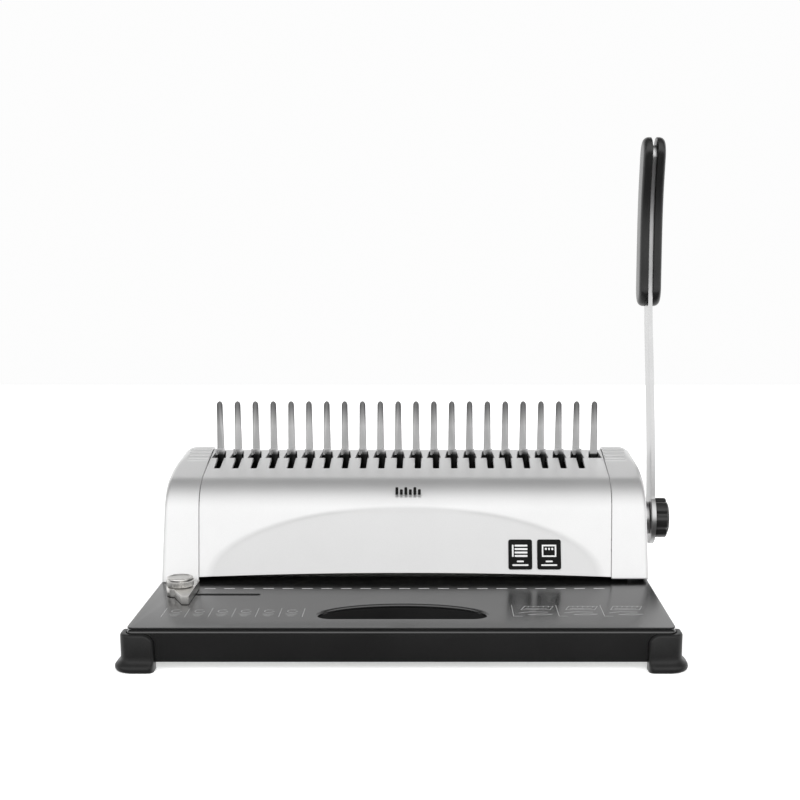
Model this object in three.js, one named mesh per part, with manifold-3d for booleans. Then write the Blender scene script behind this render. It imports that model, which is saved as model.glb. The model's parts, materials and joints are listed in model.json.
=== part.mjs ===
// Manual comb binding machine for A4 sheets, in millimetres. X runs to the operator's right,
// Y away from the operator and Z up. The machine stands on the plane Z = 0. While it is drawn,
// X = 0 is the middle of the comb row and Y = 0 the front edge of the base; the last lines move
// the whole machine so that the origin is the middle of its footprint.
import * as THREE from 'three';
import { mergeVertices } from 'three/addons/utils/BufferGeometryUtils.js';
import Module from 'manifold-3d';

const wasm = await Module();
wasm.setup();

// ---------------------------------------------------------------- driving dimensions

const gap = 0.3; // between two faces that touch
const runningClearance = 0.5; // round a piece that slides

// Comb row: 21 rectangular holes at nine sixteenths of an inch.
const combPitch = 14.2875;
const holeCount = 21;
const punchWidth = 8;
const punchDepth = 3;

// Base.
const footPad = 5.5; // rubber under the base
const baseHeight = 23.6;
const baseWall = 2.5;
const baseCornerRadius = 5;
const baseMargin = 0.2; // base beyond the body on each side
const baseRearMargin = 8;
const bottomPlateThickness = 1.6;

// Feet: cups of rubber on the four corners.
const footReach = 18.6; // along the base edge, from its corner
const footWall = 4.2;
const footTread = 5; // under the base, from its edge
const footCupHeight = 25.4;
const footFlange = 4.2;
const footFlangeHeight = 3;
const footStepHeight = 2.5;

// Sheet table in front of the body, with its hand hole and its edge guide.
const tableDepth = 117.5;
const handHoleHalfWidth = 57.6;
const handHoleFrontY = 22.3;
const handHoleCorner = 9.3;
const handHoleArch = 27.5;
const guideSlotWidth = 5;
const guideTravel = 55;
const guideBarWidth = 7;
const guideBarHeight = 6;
const guideNoseLength = 28.2; // in front of the knob
const guideNoseWidth = 5;
const guideKnobRadius = 9.8;
const guideKnobHeight = 6.7;
const guideStudRadius = 2;
const guideKnobToBody = 33;
const guideTailLength = 17; // behind the knob
const guideEdgeInset = 0.5; // right face of the guide, outside the end of the comb row
const guideKnobOffset = 10.9; // knob centre, outside the guide's right face

// Body shell.
const coverWall = 2.5;
const throatHeight = 4; // under the front edge of the main cover, at its ends
const throatArch = 3; // more at the middle
const frontLean = THREE.MathUtils.degToRad(20.6);
const topSlope = THREE.MathUtils.degToRad(11.8);
const rearLean = THREE.MathUtils.degToRad(12);
const frontRadius = 36;
const rearRadius = 20;
const mainCoverSetback = 0.9; // behind the side covers' front face
const sideCoverRise = 2.2; // side cover above the main cover, at the fingers
const sideCoverSlope = THREE.MathUtils.degToRad(13.5);
const sideCoverRear = 1;
const sideCoverEdge = 5; // rounding of the outer edge
const sideThroatHeight = 2.8; // under the front edge of the right side cover
const sideThroatDepth = 9;
const coverSplitBehindFingers = 12;
const rearCoverDepth = 29.6;
const coverEndMargin = 4.6; // main cover beyond the last finger

// Punch.
const punchLineInset = 32.5; // behind the body's front face
const paperGap = 3;
const dieThickness = 3.2;
const dieHalfDepth = 14;
const guideBlockHeight = 10;
const pinRecess = 2; // pin tips above the sheet gap at rest
const punchBarHeight = 12;
const punchBarHalfDepth = 7;
const punchBarLift = 17; // punch bar above its guide at rest
const pinHeadHeight = 2;
const pinHeadMargin = 1.3;
const retainerThickness = 2;

// Drive: one cross shaft, two small pinions for the punch and two large gears for the hooks.
const shaftBehindPunch = 48;
const shaftHeight = 32.9; // above the base
const shaftRadius = 4.5;
const leverDriveFlats = 7.8; // hexagon at the lever end
const shaftEndRadius = 3.5; // in the lever knob
const pressureAngle = THREE.MathUtils.degToRad(20);
const toothBacklash = 0.35;
const toothTipRelief = 0.1;
const pinionModule = 1;
const pinionTeeth = 16;
const hookGearModule = 1.5;
const hookGearTeeth = 20;
const gearWidth = 5;
const rackInset = 2; // first rack outside the end of the comb row
const gearSpacing = 2.5;
const rackDepth = 8;
const punchRackTeeth = 8;
const hookRackTeeth = 8;
const bushWall = 2.5;
const leverSwing = THREE.MathUtils.degToRad(85);

// Return springs under the ends of the punch bar.
const springRadius = 3.3;
const springWire = 0.7;
const springTurns = 7;
const springBehindPunch = 22;

// Side frames.
const frameThickness = 3;
const frameFlange = 7;
const frameInset = 3.5; // outside the hook gears
const frameHeight = 68;
const frameFrontInset = 14;
const frameRearInset = 22;
const frameFlangeInset = 4;
const coverToFrame = 1.8;

// Fingers and hooks.
const fingerBehindGear = 1.4; // behind the hook gears' pitch circle
const fingerBaseWidth = 6.3;
const fingerTipWidth = 4.7;
const fingerThickness = 1.8;
const fingerLength = 41.3; // above the main cover
const fingerPoint = 2.2; // height of the rounded tip
const fingerWebDepth = 8; // top of the web below the main cover's outer face
const combTabBottom = 10; // above the base
const combTabTop = 22;
const fingerOpeningWidth = 10.4;
const fingerOpeningFront = 12.4; // in front of the finger's middle
const fingerOpeningRear = 1.8;
const crestHeight = 35.4; // main cover at the fingers, above the hook rack's pitch line
const hookSlotWidth = 4.8;
const hookSlotSpare = 3; // in front of the hook at the end of its travel
const hookSideStep = 1.7; // hook slots to the right of their fingers
const hookWidth = 6.4;
const hookStem = 3.6;
const hookTip = 1.8;
const hookBar = 1.5;
const hookThickness = 2.4;
const hookBeforeFinger = 7.2;
const hookRise = 5.6; // above the main cover
const hookTipLift = 0.8;
const hookPlateThickness = 2;
const hookPlateDepth = 16;

// Chip tray.
const trayWall = 1.5;
const trayHalfDepth = 16.5;
const trayHeight = 16.5;
const trayLipDepth = 3;
const trayLipHalfWidth = 9;

// Lever, outside the right side cover.
const washerRadius = 15;
const washerThickness = 4.4;
const collarRadius = 13;
const collarThickness = 5.5;
const leverThickness = 3.3;
const leverHubRadius = 20.5;
const leverFootWidth = 26;
const leverHeadWidth = 18;
const leverTipInset = 6; // bar inside the grip's end
const gripThickness = 6.9;
const gripWidth = 25;
const gripLength = 133;
const gripEnd = 10;
const leverKnobRadius = 16;
const leverKnobHeight = 11.4;
const leverKnobLobes = 7;
const leverKnobPhase = THREE.MathUtils.degToRad(184.5); // middle of one lobe, from the rear
const leverKnobFlute = 1.6;
const leverKnobWall = 2;

// ---------------------------------------------------------------- derived places

const fingerCount = holeCount + 1;
const rowHalf = ((fingerCount - 1) / 2) * combPitch;
const baseBottomZ = footPad + gap;
const baseTopZ = baseBottomZ + baseHeight;

const pinionRadius = (pinionModule * pinionTeeth) / 2;
const hookGearRadius = (hookGearModule * hookGearTeeth) / 2;
const punchTravel = pinionRadius * leverSwing;
const hookTravel = hookGearRadius * leverSwing;

const rackX = rowHalf + rackInset;
const hookGearX = rackX + gearWidth + gearSpacing;
const frameX = hookGearX + gearWidth + frameInset;
const bodyHalf = frameX + frameThickness + frameFlange + coverToFrame + coverWall;
const coverHalf = rowHalf + coverEndMargin;
const baseHalf = bodyHalf + baseMargin;

const punchY = tableDepth + punchLineInset;
const shaftY = punchY + shaftBehindPunch;
const fingerY = shaftY + hookGearRadius + fingerBehindGear;
const splitY = fingerY + coverSplitBehindFingers;
const bodyRearY = splitY + rearCoverDepth;
const baseDepth = bodyRearY + baseRearMargin;

const shaftZ = baseTopZ + shaftHeight;
const hookRackZ = shaftZ + hookGearRadius;
const hookPlateZ = hookRackZ + rackDepth;
const hookPlateFrontY = fingerY - hookBeforeFinger - hookThickness - hookPlateDepth / 2;
const crestZ = hookRackZ + crestHeight;
const paperTopZ = baseTopZ + paperGap;
const trayZ = baseBottomZ + bottomPlateThickness + gap + runningClearance;
const punchBarZ = paperTopZ + guideBlockHeight + punchBarLift;
const punchBarTopZ = punchBarZ + punchBarHeight;

const guideRightX = -rowHalf - guideEdgeInset;
const guideKnobX = guideRightX - guideKnobOffset;
const guideKnobY = tableDepth - guideKnobToBody;
const guideTopZ = baseTopZ + gap + guideBarHeight;
const springX = rackX + gearWidth / 2;

const washerX = bodyHalf + gap;
const collarX = washerX + washerThickness + gap;
const leverX = collarX + collarThickness + gap;
const leverKnobX = leverX + leverThickness + gap;

const fingerXs = Array.from({ length: fingerCount }, (_, i) => i * combPitch - rowHalf);
const hookXs = fingerXs.slice(0, holeCount).map((x) => x + hookSideStep);
const holeXs = fingerXs.slice(0, holeCount).map((x) => x + combPitch / 2);

// ---------------------------------------------------------------- solids

const alongX = new THREE.Matrix4().makeBasis(
  new THREE.Vector3(0, 1, 0),
  new THREE.Vector3(0, 0, 1),
  new THREE.Vector3(1, 0, 0),
);
const alongY = new THREE.Matrix4().makeBasis(
  new THREE.Vector3(1, 0, 0),
  new THREE.Vector3(0, 0, 1),
  new THREE.Vector3(0, -1, 0),
);

// Turns a closed geometry into a solid that can be cut and joined.
function solid(geometry) {
  geometry.deleteAttribute('normal');
  geometry.deleteAttribute('uv');
  const merged = mergeVertices(geometry, 1e-4);
  return new wasm.Manifold(new wasm.Mesh({
    numProp: 3,
    vertProperties: new Float32Array(merged.attributes.position.array),
    triVerts: new Uint32Array(merged.index.array),
  }));
}

function extrusion(shape, depth, options) {
  return new THREE.ExtrudeGeometry(shape, { depth, curveSegments: 3, bevelEnabled: false, ...options });
}

// A YZ outline swept from x0 to x1.
function extrudeX(shape, x0, x1, options) {
  return solid(extrusion(shape, x1 - x0, options).applyMatrix4(alongX).translate(x0, 0, 0));
}

// An XZ outline swept from y0 to y1.
function extrudeY(shape, y0, y1, options) {
  return solid(extrusion(shape, y1 - y0, options).applyMatrix4(alongY).translate(0, y1, 0));
}

// An XY outline swept from z0 to z1.
function extrudeZ(shape, z0, z1, options) {
  return solid(extrusion(shape, z1 - z0, options).translate(0, 0, z0));
}

function block(x0, x1, y0, y1, z0, z1) {
  const geometry = new THREE.BoxGeometry(x1 - x0, y1 - y0, z1 - z0);
  return solid(geometry.translate((x0 + x1) / 2, (y0 + y1) / 2, (z0 + z1) / 2));
}

// A block on both sides of a centre in X and Y.
function blockAt(x, y, halfX, halfY, z0, z1) {
  return block(x - halfX, x + halfX, y - halfY, y + halfY, z0, z1);
}

function cylinderX(radius, x0, x1, y, z, segments = 32) {
  const geometry = new THREE.CylinderGeometry(radius, radius, x1 - x0, segments);
  return solid(geometry.rotateZ(Math.PI / 2).translate((x0 + x1) / 2, y, z));
}

function cylinderZ(radius, z0, z1, x, y, segments = 32) {
  const geometry = new THREE.CylinderGeometry(radius, radius, z1 - z0, segments);
  return solid(geometry.rotateX(Math.PI / 2).translate(x, y, (z0 + z1) / 2));
}

// Six-sided bar on the shaft axis, measured across its flats.
function hexX(acrossFlats, x0, x1) {
  return cylinderX(acrossFlats / Math.sqrt(3), x0, x1, shaftY, shaftZ, 6);
}

function joined(solids) {
  return solids.reduce((whole, piece) => whole.add(piece));
}

function cut(whole, cutters) {
  return cutters.reduce((rest, cutter) => rest.subtract(cutter), whole);
}

// ---------------------------------------------------------------- outlines

// Closed outline through corners [x, y, radius]; a radius of 0 keeps a corner sharp.
function roundedShape(corners) {
  const shape = new THREE.Shape();
  corners.forEach(([x, y, radius], i) => {
    const here = new THREE.Vector2(x, y);
    const before = corners[(i + corners.length - 1) % corners.length];
    const after = corners[(i + 1) % corners.length];
    const back = new THREE.Vector2(before[0], before[1]).sub(here).normalize();
    const ahead = new THREE.Vector2(after[0], after[1]).sub(here).normalize();
    const half = Math.acos(back.dot(ahead)) / 2;
    const start = here.clone().addScaledVector(back, radius / Math.tan(half));
    if (i === 0) shape.moveTo(start.x, start.y);
    if (radius === 0) {
      shape.lineTo(x, y);
      return;
    }
    const inward = back.clone().add(ahead).normalize();
    const centre = here.clone().addScaledVector(inward, radius / Math.sin(half));
    const clockwise = back.cross(ahead) > 0;
    const end = here.clone().addScaledVector(ahead, radius / Math.tan(half));
    const startAngle = Math.atan2(start.y - centre.y, start.x - centre.x);
    const endAngle = Math.atan2(end.y - centre.y, end.x - centre.x);
    shape.absarc(centre.x, centre.y, radius, startAngle, endAngle, clockwise);
  });
  return shape;
}

function rectangle(x0, x1, y0, y1, radius = 0) {
  return roundedShape([[x0, y0, radius], [x1, y0, radius], [x1, y1, radius], [x0, y1, radius]]);
}

function polygon(points) {
  return new THREE.Shape(points.map(([x, y]) => new THREE.Vector2(x, y)));
}

// Where two straight lines cross, each given by a point and a direction angle.
function crossing([ax, ay], angleA, [bx, by], angleB) {
  const reach = ((bx - ax) * Math.sin(angleB) - (by - ay) * Math.cos(angleB)) / Math.sin(angleB - angleA);
  return [ax + reach * Math.cos(angleA), ay + reach * Math.sin(angleA)];
}

// Side view of a cover: a leaning front, a sloping top and a leaning back, each moved inwards by
// the inset, above an open bottom.
function bodyOutline({ frontY, topZ, slope, rearY }, inset, bottomZ) {
  const front = [frontY + inset / Math.cos(frontLean), baseTopZ];
  const top = [fingerY, topZ - inset / Math.cos(slope)];
  const rear = [rearY - inset / Math.cos(rearLean), baseTopZ];
  const frontAngle = Math.PI / 2 - frontLean;
  const rearAngle = Math.PI / 2 + rearLean;
  const floor = [0, bottomZ];
  return roundedShape([
    [...crossing(front, frontAngle, floor, 0), 0],
    [...crossing(front, frontAngle, top, slope), frontRadius - inset],
    [...crossing(rear, rearAngle, top, slope), rearRadius - inset],
    [...crossing(rear, rearAngle, floor, 0), 0],
  ]);
}

const mainBody = {
  frontY: tableDepth + mainCoverSetback,
  topZ: crestZ,
  slope: topSlope,
  rearY: bodyRearY - sideCoverRear,
};
const sideBody = {
  frontY: tableDepth,
  topZ: crestZ + sideCoverRise,
  slope: sideCoverSlope,
  rearY: bodyRearY,
};

// Hand hole: straight front edge, round front corners and an arched back.
function handHole(grow) {
  const halfWidth = handHoleHalfWidth + grow;
  const corner = handHoleCorner + grow;
  const centreY = handHoleFrontY + handHoleCorner;
  const shape = new THREE.Shape();
  shape.moveTo(corner - halfWidth, centreY - corner);
  shape.absarc(halfWidth - corner, centreY, corner, -Math.PI / 2, 0, false);
  shape.absellipse(0, centreY, halfWidth, handHoleArch + grow, 0, Math.PI, false);
  shape.absarc(corner - halfWidth, centreY, corner, Math.PI, 1.5 * Math.PI, false);
  return shape;
}

// Involute gear with straight steps at the root, base, pitch and tip circles.
function gearShape(module, teeth) {
  const pitchRadius = (module * teeth) / 2;
  const baseRadius = pitchRadius * Math.cos(pressureAngle);
  const involute = (radius) => {
    const angle = Math.acos(Math.min(1, baseRadius / radius));
    return Math.tan(angle) - angle;
  };
  const pitchHalfAngle = (Math.PI * module - toothBacklash) / 4 / pitchRadius;
  const halfAngle = (radius) => pitchHalfAngle + involute(pitchRadius) - involute(radius);
  const rootRadius = pitchRadius - 1.25 * module;
  const tipRadius = pitchRadius + module - toothTipRelief;
  const radii = [rootRadius, baseRadius, pitchRadius, tipRadius].sort((a, b) => a - b);
  const points = [];
  for (let tooth = 0; tooth < teeth; tooth += 1) {
    const centre = (2 * Math.PI * tooth) / teeth;
    const rising = radii.map((radius) => [radius, centre - halfAngle(radius)]);
    const falling = radii.map((radius) => [radius, centre + halfAngle(radius)]).reverse();
    for (const [radius, angle] of [...rising, ...falling]) {
      points.push([radius * Math.cos(angle), radius * Math.sin(angle)]);
    }
  }
  return points;
}

// Rack outline as [along, towards the gear] from its pitch point: teeth, then a straight back.
// A gap of the rack lies on the pitch point, and before gives the teeth on the negative side.
function rackPoints(module, before, count, depth) {
  const pitch = Math.PI * module;
  const tip = module - toothTipRelief;
  const root = -1.25 * module;
  const halfPitch = (pitch - toothBacklash) / 4;
  const halfTip = halfPitch - tip * Math.tan(pressureAngle);
  const halfRoot = halfPitch - root * Math.tan(pressureAngle);
  const points = [[-before * pitch, -depth], [-before * pitch, root]];
  for (let tooth = 0; tooth < count; tooth += 1) {
    const centre = (tooth + 0.5 - before) * pitch;
    points.push([centre - halfRoot, root], [centre - halfTip, tip]);
    points.push([centre + halfTip, tip], [centre + halfRoot, root]);
  }
  points.push([(count - before) * pitch, root], [(count - before) * pitch, -depth]);
  return points;
}

// Strip along a curve, with round ends of the given length and a width that changes evenly.
function stripShape(curve, from, to, fromWidth, toWidth, fromEnd, toEnd) {
  const total = curve.getLength();
  const length = to - from;
  const places = [];
  const capSteps = 5;
  for (let i = 0; i < capSteps; i += 1) {
    places.push(fromEnd * (1 - Math.cos((i / capSteps) * (Math.PI / 2))));
  }
  const bodySteps = 10;
  const straight = length - fromEnd - toEnd;
  for (let i = 0; i <= bodySteps; i += 1) places.push(fromEnd + (straight * i) / bodySteps);
  for (let i = 1; i <= capSteps; i += 1) {
    places.push(length - toEnd + toEnd * Math.sin((i / capSteps) * (Math.PI / 2)));
  }
  const capFactor = (distance, end) => {
    const rest = Math.max(0, end - distance) / (end || 1);
    return Math.sqrt(Math.max(0, 1 - rest * rest));
  };
  const left = [];
  const right = [];
  for (const place of places) {
    const point = curve.getPointAt(Math.min(1, (from + place) / total));
    const along = curve.getTangentAt(Math.min(1, (from + place) / total));
    const width = fromWidth + ((toWidth - fromWidth) * place) / length;
    const half = (width / 2) * Math.min(capFactor(place, fromEnd), capFactor(length - place, toEnd));
    left.push([point.x - along.y * half, point.y + along.x * half]);
    right.push([point.x + along.y * half, point.y - along.x * half]);
  }
  return polygon([...left, ...right.reverse()]);
}

// ---------------------------------------------------------------- base

function baseHousing() {
  const plan = rectangle(-baseHalf, baseHalf, 0, baseDepth, baseCornerRadius);
  const outer = extrudeZ(plan, baseBottomZ, baseTopZ);
  const hollow = rectangle(
    baseWall - baseHalf, baseHalf - baseWall, baseWall, baseDepth - baseWall, baseCornerRadius - baseWall,
  );
  const shell = outer.subtract(extrudeZ(hollow, baseBottomZ - 1, baseTopZ - baseWall));
  const slot = rectangle(
    guideKnobX - guideSlotWidth, guideKnobX + guideTravel + guideSlotWidth / 2,
    guideKnobY - guideSlotWidth / 2, guideKnobY + guideSlotWidth / 2, guideSlotWidth / 2 - 0.1,
  );
  const dieHalf = frameX + frameThickness + gap;
  return cut(shell, [
    extrudeZ(handHole(0), 0, baseTopZ + 1, { curveSegments: 8 }),
    extrudeZ(slot, baseTopZ - baseWall - 1, baseTopZ + 1),
    blockAt(0, punchY, dieHalf, dieHalfDepth + gap, baseTopZ - baseWall - 1, baseTopZ + 1),
    block(
      -baseHalf - 1, -baseHalf + baseWall + 1, punchY - trayHalfDepth - runningClearance,
      punchY + trayHalfDepth + runningClearance, trayZ - runningClearance / 2,
      trayZ + trayHeight + runningClearance,
    ),
  ]);
}

// Wall round the hand hole, between the table and the open underside.
function handGripLiner() {
  const topZ = baseTopZ - baseWall - gap;
  const outer = extrudeZ(handHole(baseWall), baseBottomZ, topZ, { curveSegments: 8 });
  return outer.subtract(extrudeZ(handHole(0), 0, baseTopZ, { curveSegments: 8 }));
}

function bottomPlate() {
  const edge = baseWall + gap;
  const corner = baseCornerRadius - edge;
  const outline = rectangle(edge - baseHalf, baseHalf - edge, edge, baseDepth - edge, corner);
  const plate = extrudeZ(outline, baseBottomZ, baseBottomZ + bottomPlateThickness);
  return plate.subtract(extrudeZ(handHole(baseWall + gap), 0, baseTopZ, { curveSegments: 8 }));
}

// Rubber corner that wraps the base and treads along its two edges; side is -1 left or 1 right.
function foot(side, rear) {
  const x = (distance) => side * (baseHalf - distance);
  const y = (distance) => (rear ? baseDepth - distance : distance);
  const cornerBlock = (proud, radius, z0, z1) => extrudeZ(roundedShape([
    [x(-proud), y(-proud), radius],
    [x(footReach), y(-proud), 0],
    [x(footReach), y(footReach), 0],
    [x(-proud), y(footReach), 0],
  ]), z0, z1);
  const cup = gap + footWall;
  const solidCup = joined([
    cornerBlock(cup, baseCornerRadius + cup, 0, footCupHeight),
    cornerBlock(cup + footFlange, baseCornerRadius + cup + footFlange, 0, footFlangeHeight),
    cornerBlock(
      cup + footFlange / 2, baseCornerRadius + cup + footFlange / 2, 0, footFlangeHeight + footStepHeight,
    ),
  ]);
  const base = rectangle(-baseHalf - gap, baseHalf + gap, -gap, baseDepth + gap, baseCornerRadius + gap);
  const inner = rectangle(
    footTread - baseHalf, baseHalf - footTread, footTread, baseDepth - footTread, baseCornerRadius,
  );
  return cut(solidCup, [extrudeZ(base, footPad, baseTopZ + 1), extrudeZ(inner, -1, baseTopZ)]);
}

// Tray for the punched chips; it slides out on the left through the side of the base.
function chipTray() {
  const left = -baseHalf;
  const right = frameX;
  const outside = blockAt(
    (left + right) / 2, punchY, (right - left) / 2, trayHalfDepth, trayZ, trayZ + trayHeight,
  );
  const inside = block(
    left + baseWall, right - trayWall, punchY - trayHalfDepth + trayWall, punchY + trayHalfDepth - trayWall,
    trayZ + trayWall, trayZ + trayHeight + 1,
  );
  const lip = block(
    left - trayLipDepth, left + 1, punchY - trayLipHalfWidth, punchY + trayLipHalfWidth,
    trayZ + trayHeight - 2 * trayWall, trayZ + trayHeight - trayWall,
  );
  return outside.subtract(inside).add(lip);
}

// ---------------------------------------------------------------- body shell

function coverShell(halfWidth, bottomZ) {
  const outer = extrudeX(bodyOutline(mainBody, 0, bottomZ), -halfWidth, halfWidth);
  const inside = bodyOutline(mainBody, coverWall, bottomZ - 1);
  return outer.subtract(extrudeX(inside, -halfWidth - 1, halfWidth + 1));
}

// Front and top cover, with an arched lower edge, hook slots and finger openings.
function mainCover() {
  const bottomZ = baseTopZ + throatHeight;
  const behind = block(-coverHalf - 1, coverHalf + 1, splitY, bodyRearY + 1, 0, crestZ + 20);
  const arch = new THREE.Shape();
  arch.moveTo(-coverHalf, bottomZ - 1);
  arch.lineTo(coverHalf, bottomZ - 1);
  arch.lineTo(coverHalf, bottomZ);
  arch.quadraticCurveTo(0, bottomZ + 2 * throatArch, -coverHalf, bottomZ);
  const throat = extrudeY(arch, tableDepth - 1, tableDepth + 30, { curveSegments: 12 });
  const slotFrontY = fingerY - hookBeforeFinger - hookThickness - hookTravel - hookSlotSpare;
  const slotRearY = fingerY - hookBeforeFinger + 2 * runningClearance;
  const through = [crestZ - 20, crestZ + 10];
  const slots = hookXs.map((x) => extrudeZ(
    rectangle(x - hookSlotWidth / 2, x + hookSlotWidth / 2, slotFrontY, slotRearY, 1), ...through,
    { curveSegments: 1 },
  ));
  const openings = fingerXs.map((x) => block(
    x - fingerOpeningWidth / 2, x + fingerOpeningWidth / 2,
    fingerY - fingerOpeningFront, fingerY + fingerOpeningRear, ...through,
  ));
  return cut(coverShell(coverHalf, bottomZ), [behind, throat, ...slots, ...openings]);
}

function rearCover() {
  const front = block(-coverHalf - 1, coverHalf + 1, 0, splitY + gap, 0, crestZ + 20);
  return coverShell(coverHalf, baseTopZ + gap).subtract(front);
}

// End cover, open towards the middle, with a rounded outer edge.
function sideCover(side) {
  const bottomZ = baseTopZ + gap;
  const innerX = coverHalf + gap;
  const shape = bodyOutline(sideBody, 0, bottomZ - 2 * sideCoverEdge);
  const rounded = {
    curveSegments: 4,
    bevelEnabled: true,
    bevelSize: sideCoverEdge,
    bevelThickness: sideCoverEdge,
    bevelOffset: -sideCoverEdge,
    bevelSegments: 3,
  };
  const full = extrudeX(shape, -bodyHalf + sideCoverEdge, bodyHalf - sideCoverEdge, rounded);
  const inside = bodyOutline(sideBody, coverWall, bottomZ - 1);
  const insideEdge = sideCoverEdge - coverWall;
  const hollow = extrudeX(inside, -bodyHalf + sideCoverEdge, bodyHalf - sideCoverEdge, {
    ...rounded,
    bevelSize: insideEdge,
    bevelThickness: insideEdge,
    bevelOffset: -insideEdge,
  });
  const core = bodyOutline(sideBody, sideCoverEdge, bottomZ - 20);
  const deepHollow = hollow.add(extrudeX(core, coverWall - bodyHalf, bodyHalf - coverWall));
  const half = side > 0
    ? block(innerX, bodyHalf + 1, 0, bodyRearY + 1, bottomZ, crestZ + 40)
    : block(-bodyHalf - 1, -innerX, 0, bodyRearY + 1, bottomZ, crestZ + 40);
  const cover = full.subtract(deepHollow).intersect(half);
  if (side < 0) return cover;
  const boreRadius = shaftRadius + 2 * runningClearance;
  return cut(cover, [
    block(innerX, bodyHalf + 1, 0, tableDepth + sideThroatDepth, 0, baseTopZ + sideThroatHeight),
    cylinderX(boreRadius, innerX, bodyHalf + 1, shaftY, shaftZ),
  ]);
}

// ---------------------------------------------------------------- fixed mechanism

// Side plate with a foot flange, a bore for the shaft bush and a slot that carries the hook plate.
function sideFrame(side) {
  const bottomZ = baseTopZ + gap;
  const x0 = side > 0 ? frameX : -frameX - frameThickness;
  const frontY = tableDepth + frameFrontInset;
  const rearY = bodyRearY - frameRearInset;
  const panel = extrudeX(rectangle(frontY, rearY, bottomZ, bottomZ + frameHeight), x0, x0 + frameThickness);
  const room = bodyOutline(mainBody, 2 * coverWall, bottomZ - 1);
  const plate = panel.intersect(extrudeX(room, x0 - 1, x0 + frameThickness + 1));
  const flangeX = side > 0 ? frameX + 1 : -frameX - frameThickness - frameFlange;
  const flange = block(
    flangeX, flangeX + frameThickness + frameFlange - 1, frontY + frameFlangeInset, rearY,
    bottomZ, bottomZ + frameThickness,
  );
  const slot = block(
    x0 - 1, x0 + frameThickness + 1, hookPlateFrontY - hookTravel - 2 * runningClearance,
    hookPlateFrontY + hookPlateDepth + runningClearance, hookPlateZ - runningClearance,
    hookPlateZ + hookPlateThickness + runningClearance,
  );
  const bore = cylinderX(shaftRadius + bushWall + 2 * gap, x0 - 1, x0 + frameThickness + 1, shaftY, shaftZ);
  return cut(plate.add(flange), [slot, bore]);
}

function shaftBush(side) {
  const x0 = side > 0 ? frameX - gap : -frameX - frameThickness - gap;
  const x1 = x0 + frameThickness + 2 * gap;
  const outer = cylinderX(shaftRadius + bushWall + gap, x0, x1, shaftY, shaftZ);
  return outer.subtract(cylinderX(shaftRadius + gap, x0 - 1, x1 + 1, shaftY, shaftZ));
}

function diePlate() {
  const plate = blockAt(
    0, punchY, frameX + frameThickness, dieHalfDepth, baseTopZ - dieThickness, baseTopZ,
  );
  const holes = holeXs.map((x) => blockAt(
    x, punchY, punchWidth / 2 + gap, punchDepth / 2 + gap, baseTopZ - dieThickness - 1, baseTopZ + 1,
  ));
  return cut(plate, holes);
}

// Guide block for the pins; its back leg is the stop for the sheets.
function punchGuide() {
  const top = paperTopZ + guideBlockHeight;
  const profile = polygon([
    [punchY - dieHalfDepth, paperTopZ + paperGap],
    [punchY - dieHalfDepth + paperGap, paperTopZ],
    [punchY + dieHalfDepth / 2, paperTopZ],
    [punchY + dieHalfDepth / 2, baseTopZ + gap],
    [punchY + dieHalfDepth, baseTopZ + gap],
    [punchY + dieHalfDepth, top],
    [punchY - dieHalfDepth, top],
  ]);
  const holes = holeXs.map((x) => blockAt(
    x, punchY, punchWidth / 2 + gap, punchDepth / 2 + gap, baseTopZ, top + 1,
  ));
  return cut(extrudeX(profile, gap - frameX, frameX - gap), holes);
}

// Comb of fixed fingers that open the plastic comb's rings, on one web with a tab at each end.
function fingerComb() {
  const webTopZ = crestZ - fingerWebDepth;
  const tipZ = crestZ + fingerLength;
  const webHalf = rowHalf + fingerBaseWidth / 2 + 1;
  const tabTopZ = baseTopZ + combTabTop;
  const tabBottomZ = baseTopZ + combTabBottom;
  const tabHalf = frameX - gap;
  const points = [
    [tabHalf, tabBottomZ],
    [tabHalf, tabTopZ],
    [webHalf, tabTopZ],
    [webHalf, webTopZ],
  ];
  for (const x of [...fingerXs].reverse()) {
    points.push([x + fingerBaseWidth / 2, webTopZ]);
    points.push([x + fingerTipWidth / 2, tipZ - fingerPoint]);
    points.push([x + fingerTipWidth / 5, tipZ]);
    points.push([x - fingerTipWidth / 5, tipZ]);
    points.push([x - fingerTipWidth / 2, tipZ - fingerPoint]);
    points.push([x - fingerBaseWidth / 2, webTopZ]);
  }
  points.push([-webHalf, webTopZ], [-webHalf, tabTopZ], [-tabHalf, tabTopZ], [-tabHalf, tabBottomZ]);
  return extrudeY(polygon(points), fingerY - fingerThickness / 2, fingerY + fingerThickness / 2);
}

// ---------------------------------------------------------------- punch

// Bar that drives the pins down, with an arm and a rack at each end.
function punchBar() {
  const bar = blockAt(0, punchY, rackX + gearWidth, punchBarHalfDepth, punchBarZ, punchBarTopZ);
  const sockets = holeXs.map((x) => blockAt(
    x, punchY, punchWidth / 2 + gap, punchDepth / 2 + gap, punchBarZ - 1, punchBarTopZ + 1,
  ));
  const rackBackY = shaftY - pinionRadius - rackDepth;
  const teethBefore = 2;
  const rack = polygon(
    rackPoints(pinionModule, teethBefore, punchRackTeeth, rackDepth)
      .map(([along, towards]) => [shaftY - pinionRadius + towards, shaftZ + along]),
  );
  const ends = [-rackX - gearWidth, rackX].flatMap((x) => [
    block(x, x + gearWidth, punchY, rackBackY + 1, punchBarZ, punchBarTopZ),
    extrudeX(rack, x, x + gearWidth),
  ]);
  return joined([cut(bar, sockets), ...ends]);
}

function punchPin(x) {
  const tipZ = paperTopZ + pinRecess;
  const headZ = punchBarTopZ + gap;
  const stem = blockAt(x, punchY, punchWidth / 2, punchDepth / 2, tipZ, headZ + 1);
  const head = blockAt(
    x, punchY, punchWidth / 2 + pinHeadMargin, punchDepth / 2 + pinHeadMargin, headZ, headZ + pinHeadHeight,
  );
  return stem.add(head);
}

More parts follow.
